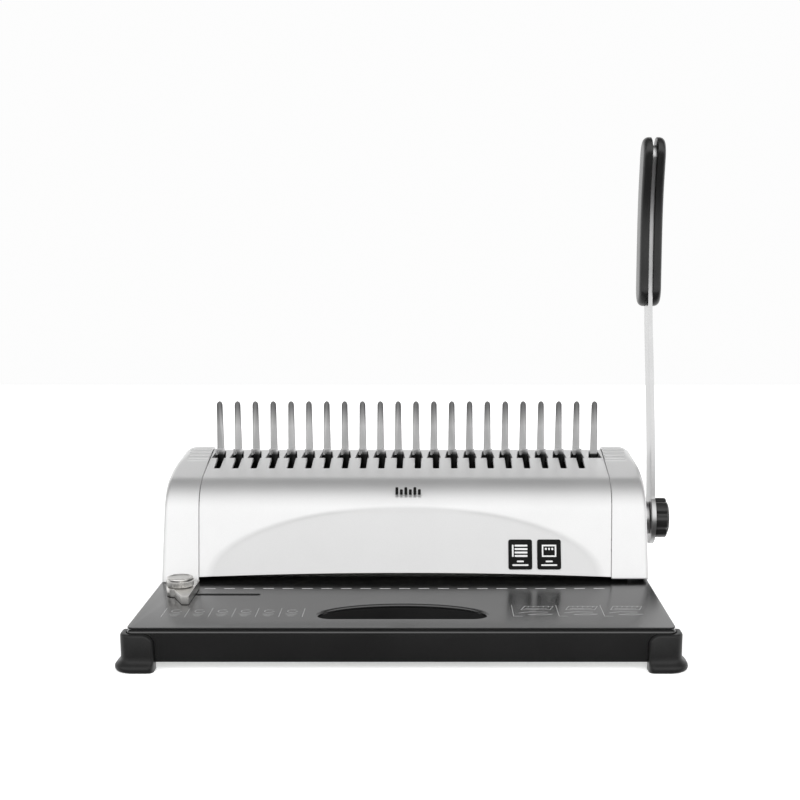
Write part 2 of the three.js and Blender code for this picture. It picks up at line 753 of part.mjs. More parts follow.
function pinRetainer() {
  const z0 = punchBarTopZ + gap + pinHeadHeight + gap;
  return blockAt(0, punchY, rowHalf, punchBarHalfDepth - 1, z0, z0 + retainerThickness);
}

class Helix extends THREE.Curve {
  constructor(x, y, radius, turns, z0, z1) {
    super();
    Object.assign(this, { x, y, radius, turns, z0, z1 });
  }

  getPoint(t, target = new THREE.Vector3()) {
    const angle = 2 * Math.PI * this.turns * t;
    const z = this.z0 + (this.z1 - this.z0) * t;
    return target.set(this.x + this.radius * Math.cos(angle), this.y + this.radius * Math.sin(angle), z);
  }
}

function returnSpring(side) {
  const path = new Helix(
    side * springX, punchY + springBehindPunch, springRadius, springTurns,
    baseTopZ + gap + springWire, punchBarZ - gap - springWire,
  );
  const section = new THREE.Shape();
  section.absarc(0, 0, springWire, 0, 2 * Math.PI, false);
  return solid(extrusion(section, 1, { extrudePath: path, steps: springTurns * 12 }));
}

// ---------------------------------------------------------------- drive

// Hexagonal bar with round journals in the side frames and a round end for the lever knob.
function mainShaft() {
  const flats = 2 * shaftRadius;
  const journalLeft = -frameX + gap;
  const journalRight = frameX - gap;
  return joined([
    cylinderX(shaftRadius, journalLeft - frameThickness - 2, journalLeft + 1, shaftY, shaftZ),
    hexX(flats, journalLeft, journalRight),
    cylinderX(shaftRadius, journalRight - 1, washerX + 1, shaftY, shaftZ),
    hexX(leverDriveFlats, washerX, leverX + leverThickness),
    cylinderX(shaftEndRadius, leverX, leverKnobX + leverKnobHeight - leverKnobWall - gap, shaftY, shaftZ),
  ]);
}

function gear(module, teeth, x0) {
  const points = gearShape(module, teeth).map(([y, z]) => [shaftY + y, shaftZ + z]);
  const wheel = extrudeX(polygon(points), x0, x0 + gearWidth);
  return wheel.subtract(hexX(2 * shaftRadius + 2 * gap, x0 - 1, x0 + gearWidth + 1));
}

// Sliding plate with 21 hooks, a rack at each end and end tabs that run in the side frames.
function hookPlate() {
  const tabX = frameX + frameThickness + 2;
  const rearY = hookPlateFrontY + hookPlateDepth;
  const top = hookPlateZ + hookPlateThickness;
  const plate = block(-tabX, tabX, hookPlateFrontY, rearY, hookPlateZ, top);
  const teethBefore = 2;
  const rack = polygon(
    rackPoints(hookGearModule, teethBefore, hookRackTeeth, rackDepth + hookPlateThickness / 2)
      .map(([along, towards]) => [shaftY + along, hookRackZ - towards]),
  );
  const racks = [-hookGearX - gearWidth, hookGearX].map((x) => extrudeX(rack, x, x + gearWidth));
  const stemBackY = fingerY - hookBeforeFinger;
  const surfaceZ = crestZ - hookBeforeFinger * Math.tan(topSlope);
  const hooks = hookXs.map((x) => {
    const right = x + hookStem / 2;
    const left = right - hookWidth;
    const topZ = surfaceZ + hookRise;
    return extrudeY(polygon([
      [right, hookPlateZ + hookPlateThickness / 2],
      [right, topZ],
      [left, topZ],
      [left, surfaceZ + hookTipLift],
      [left + hookTip, surfaceZ + hookTipLift],
      [left + hookTip, topZ - hookBar],
      [right - hookStem, topZ - hookBar],
      [right - hookStem, hookPlateZ + hookPlateThickness / 2],
    ]), stemBackY - hookThickness, stemBackY);
  });
  return joined([plate, ...racks, ...hooks]);
}

// ---------------------------------------------------------------- lever

// Middle of the lever bar, from the shaft to the end of the grip, as [Y, Z] from the shaft.
const leverLine = new THREE.CatmullRomCurve3([
  [0, 0],
  [6.5, 47.1],
  [22.9, 105.5],
  [41.2, 164.9],
  [44.5, 202.3],
  [45, 249.6],
  [36.5, 298.1],
].map(([y, z]) => new THREE.Vector3(shaftY + y, shaftZ + z, 0)), false, 'centripetal');

function washer() {
  const ring = cylinderX(washerRadius, washerX, washerX + washerThickness, shaftY, shaftZ, 40);
  return ring.subtract(cylinderX(shaftRadius + runningClearance, washerX - 1, collarX, shaftY, shaftZ));
}

function leverCollar() {
  const disc = cylinderX(collarRadius, collarX, collarX + collarThickness, shaftY, shaftZ, 40);
  return disc.subtract(cylinderX(shaftRadius + gap, collarX - 1, leverX, shaftY, shaftZ));
}

function leverBar() {
  const length = leverLine.getLength() - leverTipInset;
  const strip = stripShape(leverLine, 0, length, leverFootWidth, leverHeadWidth, 0, leverHeadWidth / 2);
  const bar = extrudeX(strip, leverX, leverX + leverThickness);
  const hub = cylinderX(leverHubRadius, leverX, leverX + leverThickness, shaftY, shaftZ, 48);
  return bar.add(hub).subtract(hexX(leverDriveFlats + 2 * gap, leverX - 1, leverKnobX));
}

function gripHalf(x0) {
  const length = leverLine.getLength();
  const start = length - gripLength;
  const outline = stripShape(leverLine, start, length, gripWidth, gripWidth, gripEnd, gripEnd);
  return extrudeX(outline, x0, x0 + gripThickness);
}

// Fluted clamping knob on the end of the shaft.
function leverKnob() {
  const points = [];
  const steps = leverKnobLobes * 8;
  for (let i = 0; i < steps; i += 1) {
    const angle = (2 * Math.PI * i) / steps;
    const wave = Math.cos(leverKnobLobes * (angle - leverKnobPhase));
    const radius = leverKnobRadius - leverKnobFlute * (0.5 - 0.5 * wave);
    points.push([shaftY + radius * Math.cos(angle), shaftZ + radius * Math.sin(angle)]);
  }
  const knob = extrudeX(polygon(points), leverKnobX, leverKnobX + leverKnobHeight);
  const depth = leverKnobHeight - leverKnobWall;
  const boreRadius = shaftEndRadius + gap;
  return knob.subtract(cylinderX(boreRadius, leverKnobX - 1, leverKnobX + depth, shaftY, shaftZ));
}

// ---------------------------------------------------------------- edge guide

// Bar that lies on the table, with a narrow nose and a boss under the knob.
function guideBlock() {
  const x = guideRightX;
  const noseY = guideKnobY - guideNoseLength;
  const z0 = baseTopZ + gap;
  const backY = guideKnobY + guideTailLength;
  const bar = extrudeZ(polygon([
    [x, noseY],
    [x, backY],
    [x - guideBarWidth, backY],
    [x - guideBarWidth, guideKnobY],
    [guideKnobX - guideKnobRadius / 4, guideKnobY - guideKnobRadius],
    [x - guideNoseWidth, noseY],
  ]), z0, guideTopZ);
  const boss = cylinderZ(guideKnobRadius, z0, guideTopZ, guideKnobX, guideKnobY, 40);
  const hole = cylinderZ(guideStudRadius + gap, z0 - 1, guideTopZ + 1, guideKnobX, guideKnobY, 24);
  return bar.add(boss).subtract(hole);
}

function guideKnob() {
  const z0 = guideTopZ + gap;
  const knob = cylinderZ(guideKnobRadius, z0, z0 + guideKnobHeight, guideKnobX, guideKnobY, 40);
  const boreTop = z0 + guideKnobHeight - 1.5;
  return knob.subtract(cylinderZ(guideStudRadius + gap, z0 - 1, boreTop, guideKnobX, guideKnobY, 24));
}

// T-bolt: a square head under the table and a stud up into the knob.
function guideBolt() {
  const headTop = baseTopZ - baseWall - gap;
  const head = blockAt(guideKnobX, guideKnobY, guideSlotWidth, guideSlotWidth, headTop - 3, headTop);
  const studTop = guideTopZ + guideKnobHeight - 2;
  return head.add(cylinderZ(guideStudRadius, headTop - 1, studTop, guideKnobX, guideKnobY, 24));
}

// ---------------------------------------------------------------- assembly

function material(color, roughness, metalness) {
  return new THREE.MeshStandardMaterial({ color, roughness, metalness });
}

const silverPlastic = () => material(0xd4d5d7, 0.38, 0.25);
const blackPlastic = () => material(0x1b1b1d, 0.5, 0);
const tablePlastic = () => material(0x2e2f31, 0.35, 0);
const rubber = () => material(0x232324, 0.75, 0);
const steel = () => material(0xb6b8ba, 0.35, 1);
const zincSteel = () => material(0xa6a8a6, 0.45, 1);
const springSteel = () => material(0x7d8084, 0.3, 1);
const nylon = () => material(0xe6e2d6, 0.55, 0);

const machine = new THREE.Group();

function addPart(name, manifold, partMaterial) {
  const { vertProperties, triVerts } = manifold.getMesh();
  const geometry = new THREE.BufferGeometry();
  geometry.setAttribute('position', new THREE.BufferAttribute(vertProperties, 3));
  geometry.setIndex(new THREE.BufferAttribute(triVerts, 1));
  const mesh = new THREE.Mesh(geometry, partMaterial);
  mesh.name = name;
  machine.add(mesh);
}

const sides = [['left', -1], ['right', 1]];
const outward = (side, inner) => (side > 0 ? inner : -inner - gearWidth);

addPart('base_housing', baseHousing(), tablePlastic());
addPart('hand_grip_liner', handGripLiner(), blackPlastic());
addPart('bottom_plate', bottomPlate(), zincSteel());
addPart('chip_tray', chipTray(), blackPlastic());
addPart('main_cover', mainCover(), silverPlastic());
addPart('rear_cover', rearCover(), silverPlastic());
addPart('die_plate', diePlate(), steel());
addPart('punch_guide', punchGuide(), zincSteel());
addPart('finger_comb', fingerComb(), steel());
for (const [word, side] of sides) {
  addPart(`foot_front_${word}`, foot(side, false), rubber());
  addPart(`foot_rear_${word}`, foot(side, true), rubber());
  addPart(`side_cover_${word}`, sideCover(side), silverPlastic());
  addPart(`side_frame_${word}`, sideFrame(side), zincSteel());
  addPart(`shaft_bush_${word}`, shaftBush(side), nylon());
  addPart(`return_spring_${word}`, returnSpring(side), springSteel());
  addPart(`drive_pinion_${word}`, gear(pinionModule, pinionTeeth, outward(side, rackX)), steel());
  addPart(`hook_gear_${word}`, gear(hookGearModule, hookGearTeeth, outward(side, hookGearX)), steel());
}
addPart('punch_bar', punchBar(), zincSteel());
addPart('pin_retainer', pinRetainer(), zincSteel());
holeXs.forEach((x, i) => addPart(`punch_pin_${String(i + 1).padStart(2, '0')}`, punchPin(x), steel()));
addPart('main_shaft', mainShaft(), steel());
addPart('hook_plate', hookPlate(), steel());
addPart('pivot_washer', washer(), blackPlastic());
addPart('lever_collar', leverCollar(), steel());
addPart('lever', leverBar(), steel());
addPart('grip_inner', gripHalf(leverX - gap - gripThickness), blackPlastic());
addPart('grip_outer', gripHalf(leverX + leverThickness + gap), blackPlastic());
addPart('lever_knob', leverKnob(), blackPlastic());
addPart('guide_block', guideBlock(), steel());
addPart('guide_knob', guideKnob(), steel());
addPart('guide_bolt', guideBolt(), steel());

const footprint = new THREE.Box3().setFromObject(machine);
const middle = footprint.getCenter(new THREE.Vector3());
machine.position.set(-middle.x, -middle.y, -footprint.min.z);

export default machine;
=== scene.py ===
import json
import math

import bmesh
import bpy
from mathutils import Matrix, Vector


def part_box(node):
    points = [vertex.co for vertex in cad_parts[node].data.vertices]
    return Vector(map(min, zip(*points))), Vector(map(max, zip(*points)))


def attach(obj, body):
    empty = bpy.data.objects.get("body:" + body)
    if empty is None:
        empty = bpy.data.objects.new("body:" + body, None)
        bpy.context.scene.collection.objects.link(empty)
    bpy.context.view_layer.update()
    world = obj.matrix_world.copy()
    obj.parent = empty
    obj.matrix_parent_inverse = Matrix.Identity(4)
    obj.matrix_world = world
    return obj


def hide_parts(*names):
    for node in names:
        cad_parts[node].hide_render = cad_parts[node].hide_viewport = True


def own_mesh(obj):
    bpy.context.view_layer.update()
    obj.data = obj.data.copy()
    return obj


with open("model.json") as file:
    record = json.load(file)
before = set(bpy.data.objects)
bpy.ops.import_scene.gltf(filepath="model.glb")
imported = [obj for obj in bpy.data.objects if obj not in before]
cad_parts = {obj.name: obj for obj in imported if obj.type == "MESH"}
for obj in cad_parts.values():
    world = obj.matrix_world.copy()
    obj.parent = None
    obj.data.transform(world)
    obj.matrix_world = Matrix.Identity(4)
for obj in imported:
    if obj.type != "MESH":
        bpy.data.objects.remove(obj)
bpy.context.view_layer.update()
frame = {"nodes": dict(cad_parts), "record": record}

# ---------------------------------------------------------------- dimensions, in millimetres
# Machine coordinates: X = 0 is the middle of the comb row, Y = 0 the front edge of the base.

MM = 0.001
BASE_LOW, BASE_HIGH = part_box("base_housing")
ORIGIN_X = (BASE_LOW.x + BASE_HIGH.x) / 2
ORIGIN_Y = BASE_LOW.y


def extent(node):
    """Lowest and highest corner of a CAD node in machine coordinates."""
    low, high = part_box(node)
    shift = Vector((ORIGIN_X, ORIGIN_Y, 0))
    return (low - shift) / MM, (high - shift) / MM


def middle(node):
    low, high = extent(node)
    return [(a + b) / 2 for a, b in zip(low, high)]


BASE_HALF, BASE_DEPTH, TABLE_Z = extent("base_housing")[1]
BASE_BOTTOM = extent("base_housing")[0].z
BODY_HALF = extent("side_cover_right")[1].x
SEAM_X = extent("side_cover_right")[0].x
SPLIT_Y = extent("main_cover")[1].y
BODY_REAR = extent("side_cover_right")[1].y
FINGER_Y = middle("finger_comb")[1]
FINGER_TOP = extent("finger_comb")[1].z
_, SHAFT_Y, SHAFT_Z = middle("pivot_washer")
LEVER_X = [corner.x for corner in extent("lever")]
CREST_ABOVE_SHAFT = 50.4
CREST_Z = SHAFT_Z + CREST_ABOVE_SHAFT

PITCH = 14.2875
HOOK_OFFSET = 1.7
FINGERS = [(i - 10.5) * PITCH for i in range(22)]
HOOKS = [x + HOOK_OFFSET for x in FINGERS[:-1]]
HOLES = [x + PITCH / 2 for x in FINGERS[:-1]]

TABLE_DEPTH = 117.5
FRONT_LEAN = math.radians(20.6)
TOP_SLOPE = math.radians(11.8)
REAR_LEAN = math.radians(12)
SIDE_SLOPE = math.radians(13.5)
FRONT_RADIUS = 36
REAR_RADIUS = 20
SIDE_RISE = 2.2
SETBACK = 0.9
SEAM_GAP = 0.3
WALL = 2.2
SCOOP_HALF = 150
SCOOP_HEIGHT = 51
SCOOP_FOOT = 4
SHARP = 32


# ---------------------------------------------------------------- meshes

def place(point):
    """Machine coordinates in millimetres to the frame's metres."""
    return (ORIGIN_X + point[0] * MM, ORIGIN_Y + point[1] * MM, point[2] * MM)


def link(name, data):
    obj = bpy.data.objects.new(name, data)
    bpy.context.scene.collection.objects.link(obj)
    return obj


def smooth(mesh, sharp=SHARP):
    """Smooth shading with sharp edges where faces meet at more than this angle in degrees."""
    mesh.polygons.foreach_set("use_smooth", [True] * len(mesh.polygons))
    mesh.set_sharp_from_angle(angle=math.radians(sharp))


def mesh_object(name, points, faces, sharp=SHARP):
    mesh = bpy.data.meshes.new(name)
    mesh.from_pydata([place(p) for p in points], [], faces)
    bm = bmesh.new()
    bm.from_mesh(mesh)
    bmesh.ops.remove_doubles(bm, verts=bm.verts, dist=1e-7)
    bmesh.ops.recalc_face_normals(bm, faces=bm.faces)
    bm.to_mesh(mesh)
    bm.free()
    smooth(mesh, sharp)
    return link(name, mesh)


def bake(obj, sharp=SHARP):
    """Applies an object's modifiers to its mesh."""
    bpy.context.view_layer.update()
    evaluated = obj.evaluated_get(bpy.context.evaluated_depsgraph_get())
    mesh = bpy.data.meshes.new_from_object(evaluated)
    obj.modifiers.clear()
    old = obj.data
    obj.data = mesh
    bpy.data.meshes.remove(old)
    smooth(obj.data, sharp)
    return obj


def remove(obj):
    mesh = obj.data
    bpy.data.objects.remove(obj)
    bpy.data.meshes.remove(mesh)


def walled(obj):
    """Gives a cover's outer surface its wall, inwards."""
    mod = obj.modifiers.new("wall", "SOLIDIFY")
    mod.thickness = WALL * MM
    mod.offset = -1
    mod.use_even_offset = True
    return bake(obj)


def bevelled(obj, width, segments, angle, sharp=SHARP):
    mod = obj.modifiers.new("edge", "BEVEL")
    mod.width = width * MM
    mod.segments = segments
    mod.limit_method = "ANGLE"
    mod.angle_limit = math.radians(angle)
    return bake(obj, sharp)


def combine(obj, tool, operation="DIFFERENCE"):
    """Cuts the tool from an object, or joins it on; the tool is used up."""
    mod = obj.modifiers.new("tool", "BOOLEAN")
    mod.operation = operation
    mod.solver = "EXACT"
    mod.object = tool
    bake(obj)
    remove(tool)


def merged(name, parts):
    """Joins (points, faces) pairs into one object."""
    points, faces = [], []
    for part_points, part_faces in parts:
        start = len(points)
        points += part_points
        faces += [[i + start for i in face] for face in part_faces]
    return mesh_object(name, points, faces)


def loft(rings, cap_start=True, cap_end=True, closed=True):
    """Skins rings of equal length; each ring is a list of points."""
    count = len(rings[0])
    points = [p for ring in rings for p in ring]
    faces = []
    for r in range(len(rings) - 1):
        for i in range(count if closed else count - 1):
            j = (i + 1) % count
            faces.append([r * count + i, r * count + j, (r + 1) * count + j, (r + 1) * count + i])
    if cap_start:
        faces.append(list(range(count))[::-1])
    if cap_end:
        faces.append([(len(rings) - 1) * count + i for i in range(count)])
    return points, faces


def lofted(name, rings, sharp=SHARP, **options):
    return mesh_object(name, *loft(rings, **options), sharp)


def prism(name, outline, x0, x1, sharp=SHARP):
    """Solid between two values of X, from an outline of [y, z] points."""
    return lofted(name, [[(x, y, z) for y, z in outline] for x in (x0, x1)], sharp)


def box_part(x0, x1, y0, y1, z0, z1):
    ring = lambda z: [(x0, y0, z), (x1, y0, z), (x1, y1, z), (x0, y1, z)]
    return loft([ring(z0), ring(z1)])


def arc(cx, cy, radius, start, end, steps):
    """Points on a circle, angles in degrees."""
    return [
        (cx + radius * math.cos(math.radians(start + (end - start) * i / steps)),
         cy + radius * math.sin(math.radians(start + (end - start) * i / steps)))
        for i in range(steps + 1)
    ]


def shaft_ring(radius, steps):
    """Polygon round the shaft, as [y, z]."""
    return arc(SHAFT_Y, SHAFT_Z, radius, 0, 360, steps)[:-1]


def rounded_rectangle(x0, x1, y0, y1, radius, steps):
    return (
        arc(x1 - radius, y0 + radius, radius, -90, 0, steps)
        + arc(x1 - radius, y1 - radius, radius, 0, 90, steps)
        + arc(x0 + radius, y1 - radius, radius, 90, 180, steps)
        + arc(x0 + radius, y0 + radius, radius, 180, 270, steps)
    )


def quarter(steps, radius):
    """[inset, drop] pairs round an edge, from the side face up to the top face."""
    turns = [math.pi / 2 * i / steps for i in range(steps + 1)]
    return [(radius * (1 - math.cos(turn)), radius * (1 - math.sin(turn))) for turn in turns]


# ---------------------------------------------------------------- materials

def node_material(name):
    mat = bpy.data.materials.new(name)
    mat.use_nodes = True
    nodes, links = mat.node_tree.nodes, mat.node_tree.links
    return mat, nodes, links, nodes["Principled BSDF"]


SCOOP_SHADE_EDGE = 0.955
RAMP_LOW, RAMP_HIGH = 0.35, 0.65


def fill_ramp(ramp, stops):
    """Grey stops of a colour ramp, as [position, tone] from the lowest up."""
    for index, (position, tone) in enumerate(stops):
        stop = ramp.elements[index] if index < 2 else ramp.elements.new(position)
        stop.position = position
        stop.color = (tone, tone, tone, 1)


def with_painted_shade(nodes, links, coords, colour, shade_levels):
    """Painted shade by height, from the lowest level up: [height in mm, share of the colour]."""
    low, high = shade_levels[0][0], shade_levels[-1][0]
    split = nodes.new("ShaderNodeSeparateXYZ")
    links.new(coords.outputs["Object"], split.inputs["Vector"])
    level = nodes.new("ShaderNodeMapRange")
    level.inputs["From Min"].default_value = low * MM
    level.inputs["From Max"].default_value = high * MM
    links.new(split.outputs["Z"], level.inputs["Value"])
    tone = nodes.new("ShaderNodeValToRGB")
    fill_ramp(tone.color_ramp, [((height - low) / (high - low), share) for height, share in shade_levels])
    links.new(level.outputs["Result"], tone.inputs["Fac"])
    height_shade = nodes.new("ShaderNodeMix")
    height_shade.data_type = "RGBA"
    height_shade.blend_type = "MULTIPLY"
    height_shade.inputs["Factor"].default_value = 1.0
    links.new(colour, height_shade.inputs["A"])
    links.new(tone.outputs["Color"], height_shade.inputs["B"])
    return height_shade.outputs["Result"]


def with_scoop_shade(nodes, links, coords, colour, scoop_shade):
    """Painted shade over a half-round field: [middle, half sizes, share of the colour]."""
    middle, half, share = scoop_shade
    field = nodes.new("ShaderNodeMapping")
    field.vector_type = "TEXTURE"
    field.inputs["Location"].default_value = middle
    field.inputs["Scale"].default_value = half
    links.new(coords.outputs["Object"], field.inputs["Vector"])
    reach = nodes.new("ShaderNodeVectorMath")
    reach.operation = "LENGTH"
    links.new(field.outputs["Vector"], reach.inputs[0])
    edge = nodes.new("ShaderNodeMapRange")
    edge.inputs["From Min"].default_value = SCOOP_SHADE_EDGE
    edge.inputs["From Max"].default_value = 1.0
    edge.inputs["To Min"].default_value = share
    edge.inputs["To Max"].default_value = 1.0
    links.new(reach.outputs["Value"], edge.inputs["Value"])
    shade = nodes.new("ShaderNodeVectorMath")
    shade.operation = "SCALE"
    links.new(colour, shade.inputs[0])
    links.new(edge.outputs["Result"], shade.inputs["Scale"])
    return shade.outputs["Vector"]


def noise(nodes, scale, detail):
    texture = nodes.new("ShaderNodeTexNoise")
    texture.inputs["Scale"].default_value = scale
    texture.inputs["Detail"].default_value = detail
    return texture


def finish_material(
    name, dark, light, rough, rough_spread=0.05, metallic=0.0, scale=(900, 900, 900), bump=0.1,
    depth=0.05, cloud=25.0, coat=0.0, coat_rough=0.2, specular=0.5, shade_levels=None, scoop_shade=None,
):
    """Colour and roughness drift over large clouds; the grain or brushing is a fine bump."""
    mat, nodes, links, shader = node_material(name)
    coords = nodes.new("ShaderNodeTexCoord")
    mapping = nodes.new("ShaderNodeMapping")
    mapping.inputs["Scale"].default_value = scale
    links.new(coords.outputs["Object"], mapping.inputs["Vector"])
    grain = noise(nodes, 1.0, 3.0)
    links.new(mapping.outputs["Vector"], grain.inputs["Vector"])
    clouds = noise(nodes, cloud, 4.0)
    links.new(coords.outputs["Object"], clouds.inputs["Vector"])
    blend = nodes.new("ShaderNodeMix")
    blend.data_type = "FLOAT"
    blend.inputs["Factor"].default_value = 0.5
    links.new(grain.outputs["Fac"], blend.inputs["A"])
    links.new(clouds.outputs["Fac"], blend.inputs["B"])
    ramp = nodes.new("ShaderNodeValToRGB")
    for stop, position, tone in zip(ramp.color_ramp.elements, (RAMP_LOW, RAMP_HIGH), (dark, light)):
        stop.position = position
        stop.color = (*tone, 1)
    links.new(blend.outputs["Result"], ramp.inputs["Fac"])
    colour = ramp.outputs["Color"]
    # Painted shade by height, where shade levels are given.
    if shade_levels:
        colour = with_painted_shade(nodes, links, coords, colour, shade_levels)
    # Painted shade over a half-round field, where it is asked for.
    if scoop_shade:
        colour = with_scoop_shade(nodes, links, coords, colour, scoop_shade)
    links.new(colour, shader.inputs["Base Color"])
    spread = nodes.new("ShaderNodeMapRange")
    spread.inputs["To Min"].default_value = rough - rough_spread
    spread.inputs["To Max"].default_value = rough + rough_spread
    links.new(clouds.outputs["Fac"], spread.inputs["Value"])
    links.new(spread.outputs["Result"], shader.inputs["Roughness"])
    relief = nodes.new("ShaderNodeBump")
    relief.inputs["Strength"].default_value = bump
    relief.inputs["Distance"].default_value = depth * MM
    links.new(grain.outputs["Fac"], relief.inputs["Height"])
    links.new(relief.outputs["Normal"], shader.inputs["Normal"])
    shader.inputs["Metallic"].default_value = metallic
    shader.inputs["Coat Weight"].default_value = coat
    shader.inputs["Coat Roughness"].default_value = coat_rough
    shader.inputs["Specular IOR Level"].default_value = specular
    return mat


def grey(value):
    return (value, value, value)


def steel(name, dark, light, shade_levels=None):
    """Plated steel sheet, brushed along its height."""
    return finish_material(
        name, grey(dark), grey(light), 0.34, metallic=1.0, scale=(3000, 3000, 90), bump=0.12,
        depth=0.03, cloud=45, shade_levels=shade_levels,
    )


def paint(name, scoop_shade=None):
    """Satin silver paint, with painted shade over a half-round field where it is asked for."""
    return finish_material(
        name, grey(0.60), grey(0.66), 0.34, metallic=0.7, scale=(2600, 2600, 2600), bump=0.06,
        depth=0.03, cloud=14, coat=0.15, coat_rough=0.3, scoop_shade=scoop_shade,
    )


def ink(name, dark, light):
    """Matt print with a faint grain."""
    return finish_material(
        name, grey(dark), grey(light), 0.5, scale=(3000, 3000, 3000), depth=0.01, cloud=120,
    )


FINISHES = {
    "silver_shell": paint("silver_paint"),
    "table_black": finish_material(
        "table_moulding", grey(0.003), grey(0.006), 0.22, 0.03, scale=(1500, 1500, 1500), bump=0.16,
        depth=0.03, cloud=18, specular=1.0,
    ),
    "tray_black": finish_material(
        "tray_moulding", grey(0.007), grey(0.012), 0.5, scale=(1300, 1300, 1300), bump=0.3, depth=0.06,
        specular=0.15,
    ),
    "foot_rubber": finish_material(
        "foot_rubber", grey(0.008), grey(0.014), 0.40, scale=(1100, 1100, 1100), bump=0.25,
        depth=0.06, cloud=40, specular=0.24,
    ),
    "bright_steel": steel("nickel_steel", 0.48, 0.58),
    "zinc_steel": finish_material(
        "zinc_steel", (0.46, 0.48, 0.47), (0.62, 0.62, 0.58), 0.42, 0.08, metallic=1.0,
        scale=(260, 260, 260), bump=0.1, depth=0.04, cloud=60,
    ),
    "tool_steel": finish_material(
        "tool_steel", grey(0.36), grey(0.50), 0.3, 0.06, metallic=1.0, scale=(120, 3000, 3000), bump=0.12,
        depth=0.03, cloud=70,
    ),
    "spring_steel": finish_material(
        "spring_wire", grey(0.28), grey(0.42), 0.28, metallic=1.0, scale=(900, 900, 2500), bump=0.1,
        depth=0.02, cloud=90,
    ),
    "nylon": finish_material(
        "nylon", (0.66, 0.63, 0.54), (0.74, 0.71, 0.62), 0.5, bump=0.12, depth=0.04, cloud=80,
    ),
    "grip_black": finish_material(
        "grip_moulding", grey(0.006), grey(0.011), 0.32, 0.04, scale=(1600, 1600, 1600), bump=0.16,
        depth=0.04, cloud=30,
    ),
    "guide_metal": finish_material(
        "satin_nickel", (0.60, 0.59, 0.57), (0.72, 0.71, 0.69), 0.32, metallic=1.0,
        scale=(2200, 2200, 200), bump=0.1, depth=0.03, cloud=90,
    ),
}
PRINT_LIGHT = ink("print_light", 0.62, 0.72)
PRINT_FAINT = ink("print_faint", 0.42, 0.52)
LABEL_BLACK = finish_material(
    "label_black", grey(0.004), grey(0.008), 0.45, scale=(2400, 2400, 2400), bump=0.05, depth=0.01,
    cloud=60, specular=0.06,
)
# Finger steel with painted shade: black below the crest, where the fingers go down into the openings, and
# darker towards the tips.
FINGER_PAINTED_SHADE = steel("finger_steel_painted_shade", 0.58, 0.68, (
    (CREST_Z - 1.6, 0.03), (CREST_Z - 0.4, 0.95), (FINGER_TOP - 20, 1.0), (FINGER_TOP - 10, 0.55),
    (FINGER_TOP - 5, 0.34), (FINGER_TOP, 0.26),
))
# Hook steel with painted shade: black low down, where the plate goes into the slots.
HOOK_PAINTED_SHADE = steel("hook_steel_painted_shade", 0.50, 0.62, ((CREST_Z - 5.0, 0.05), (CREST_Z - 4.0, 1.0)))
# Hook stem steel with painted shade: black inside the slots, brightening just above the crest.
HOOK_STEM_PAINTED_SHADE = steel("hook_stem_steel_painted_shade", 0.50, 0.62, (
    (CREST_Z - 0.6, 0.03), (CREST_Z + 1.4, 0.4), (CREST_Z + 2.5, 1.0),
))
# Painted shade in the shallow scooped recess on the main cover's front, darker inside its half-round edge.
SCOOP_SHADE_TONE = 0.84
COVER_PAINT_SCOOP_SHADE = paint("cover_paint_scoop_shade", (
    place((0, 0, TABLE_Z + SCOOP_FOOT)), (SCOOP_HALF * MM, 1e3, SCOOP_HEIGHT * MM), SCOOP_SHADE_TONE,
))


def fit(obj, body, slot, replaced=(), material=None):
    """Gives a piece its finish, the slot's own unless a material is given, puts it on its body and hides the
    CAD nodes that it stands for.
    """
    obj.data.materials.clear()
    obj.data.materials.append(material or FINISHES[slot])
    if replaced:
        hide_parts(*replaced)
    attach(obj, body)


for part in frame["record"]["subparts"]:
    node_object = frame["nodes"][part["node"]]
    node_object.data.materials.clear()
    node_object.data.materials.append(FINISHES[part["material_slot"]])


# ---------------------------------------------------------------- shared shapes

def refined(node, name, width, segments=3, sharp=SHARP, angle=50):
    """A CAD node's own shape with its flat faces whole and its edges broken."""
    mesh = frame["nodes"][node].data.copy()
    mesh.name = name
    bm = bmesh.new()
    bm.from_mesh(mesh)
    bmesh.ops.remove_doubles(bm, verts=bm.verts, dist=1e-6)
    bmesh.ops.dissolve_limit(bm, angle_limit=math.radians(0.5), verts=bm.verts, edges=bm.edges)
    bm.to_mesh(mesh)
    bm.free()
    return bevelled(link(name, mesh), width, segments, angle, sharp)


def cross_lines(p, angle_p, q, angle_q):
    """Where a line through p and a line through q cross."""
    reach = (q[0] - p[0]) * math.sin(angle_q) - (q[1] - p[1]) * math.cos(angle_q)
    reach /= math.sin(angle_q - angle_p)
    return (p[0] + reach * math.cos(angle_p), p[1] + reach * math.sin(angle_p))


def fillet(corner, angle_in, angle_out, radius, steps):
    """Arc that turns clockwise from one heading to the next: [y, z, normal y, normal z]."""
    turn = angle_in - angle_out
    back = radius * math.tan(turn / 2)
    start = (corner[0] - back * math.cos(angle_in), corner[1] - back * math.sin(angle_in))
    centre = (start[0] + radius * math.sin(angle_in), start[1] - radius * math.cos(angle_in))
    result = []
    for i in range(steps + 1):
        angle = angle_in - turn * i / steps + math.pi / 2
        normal = (math.cos(angle), math.sin(angle))
        result.append((centre[0] + radius * normal[0], centre[1] + radius * normal[1], *normal))
    return result


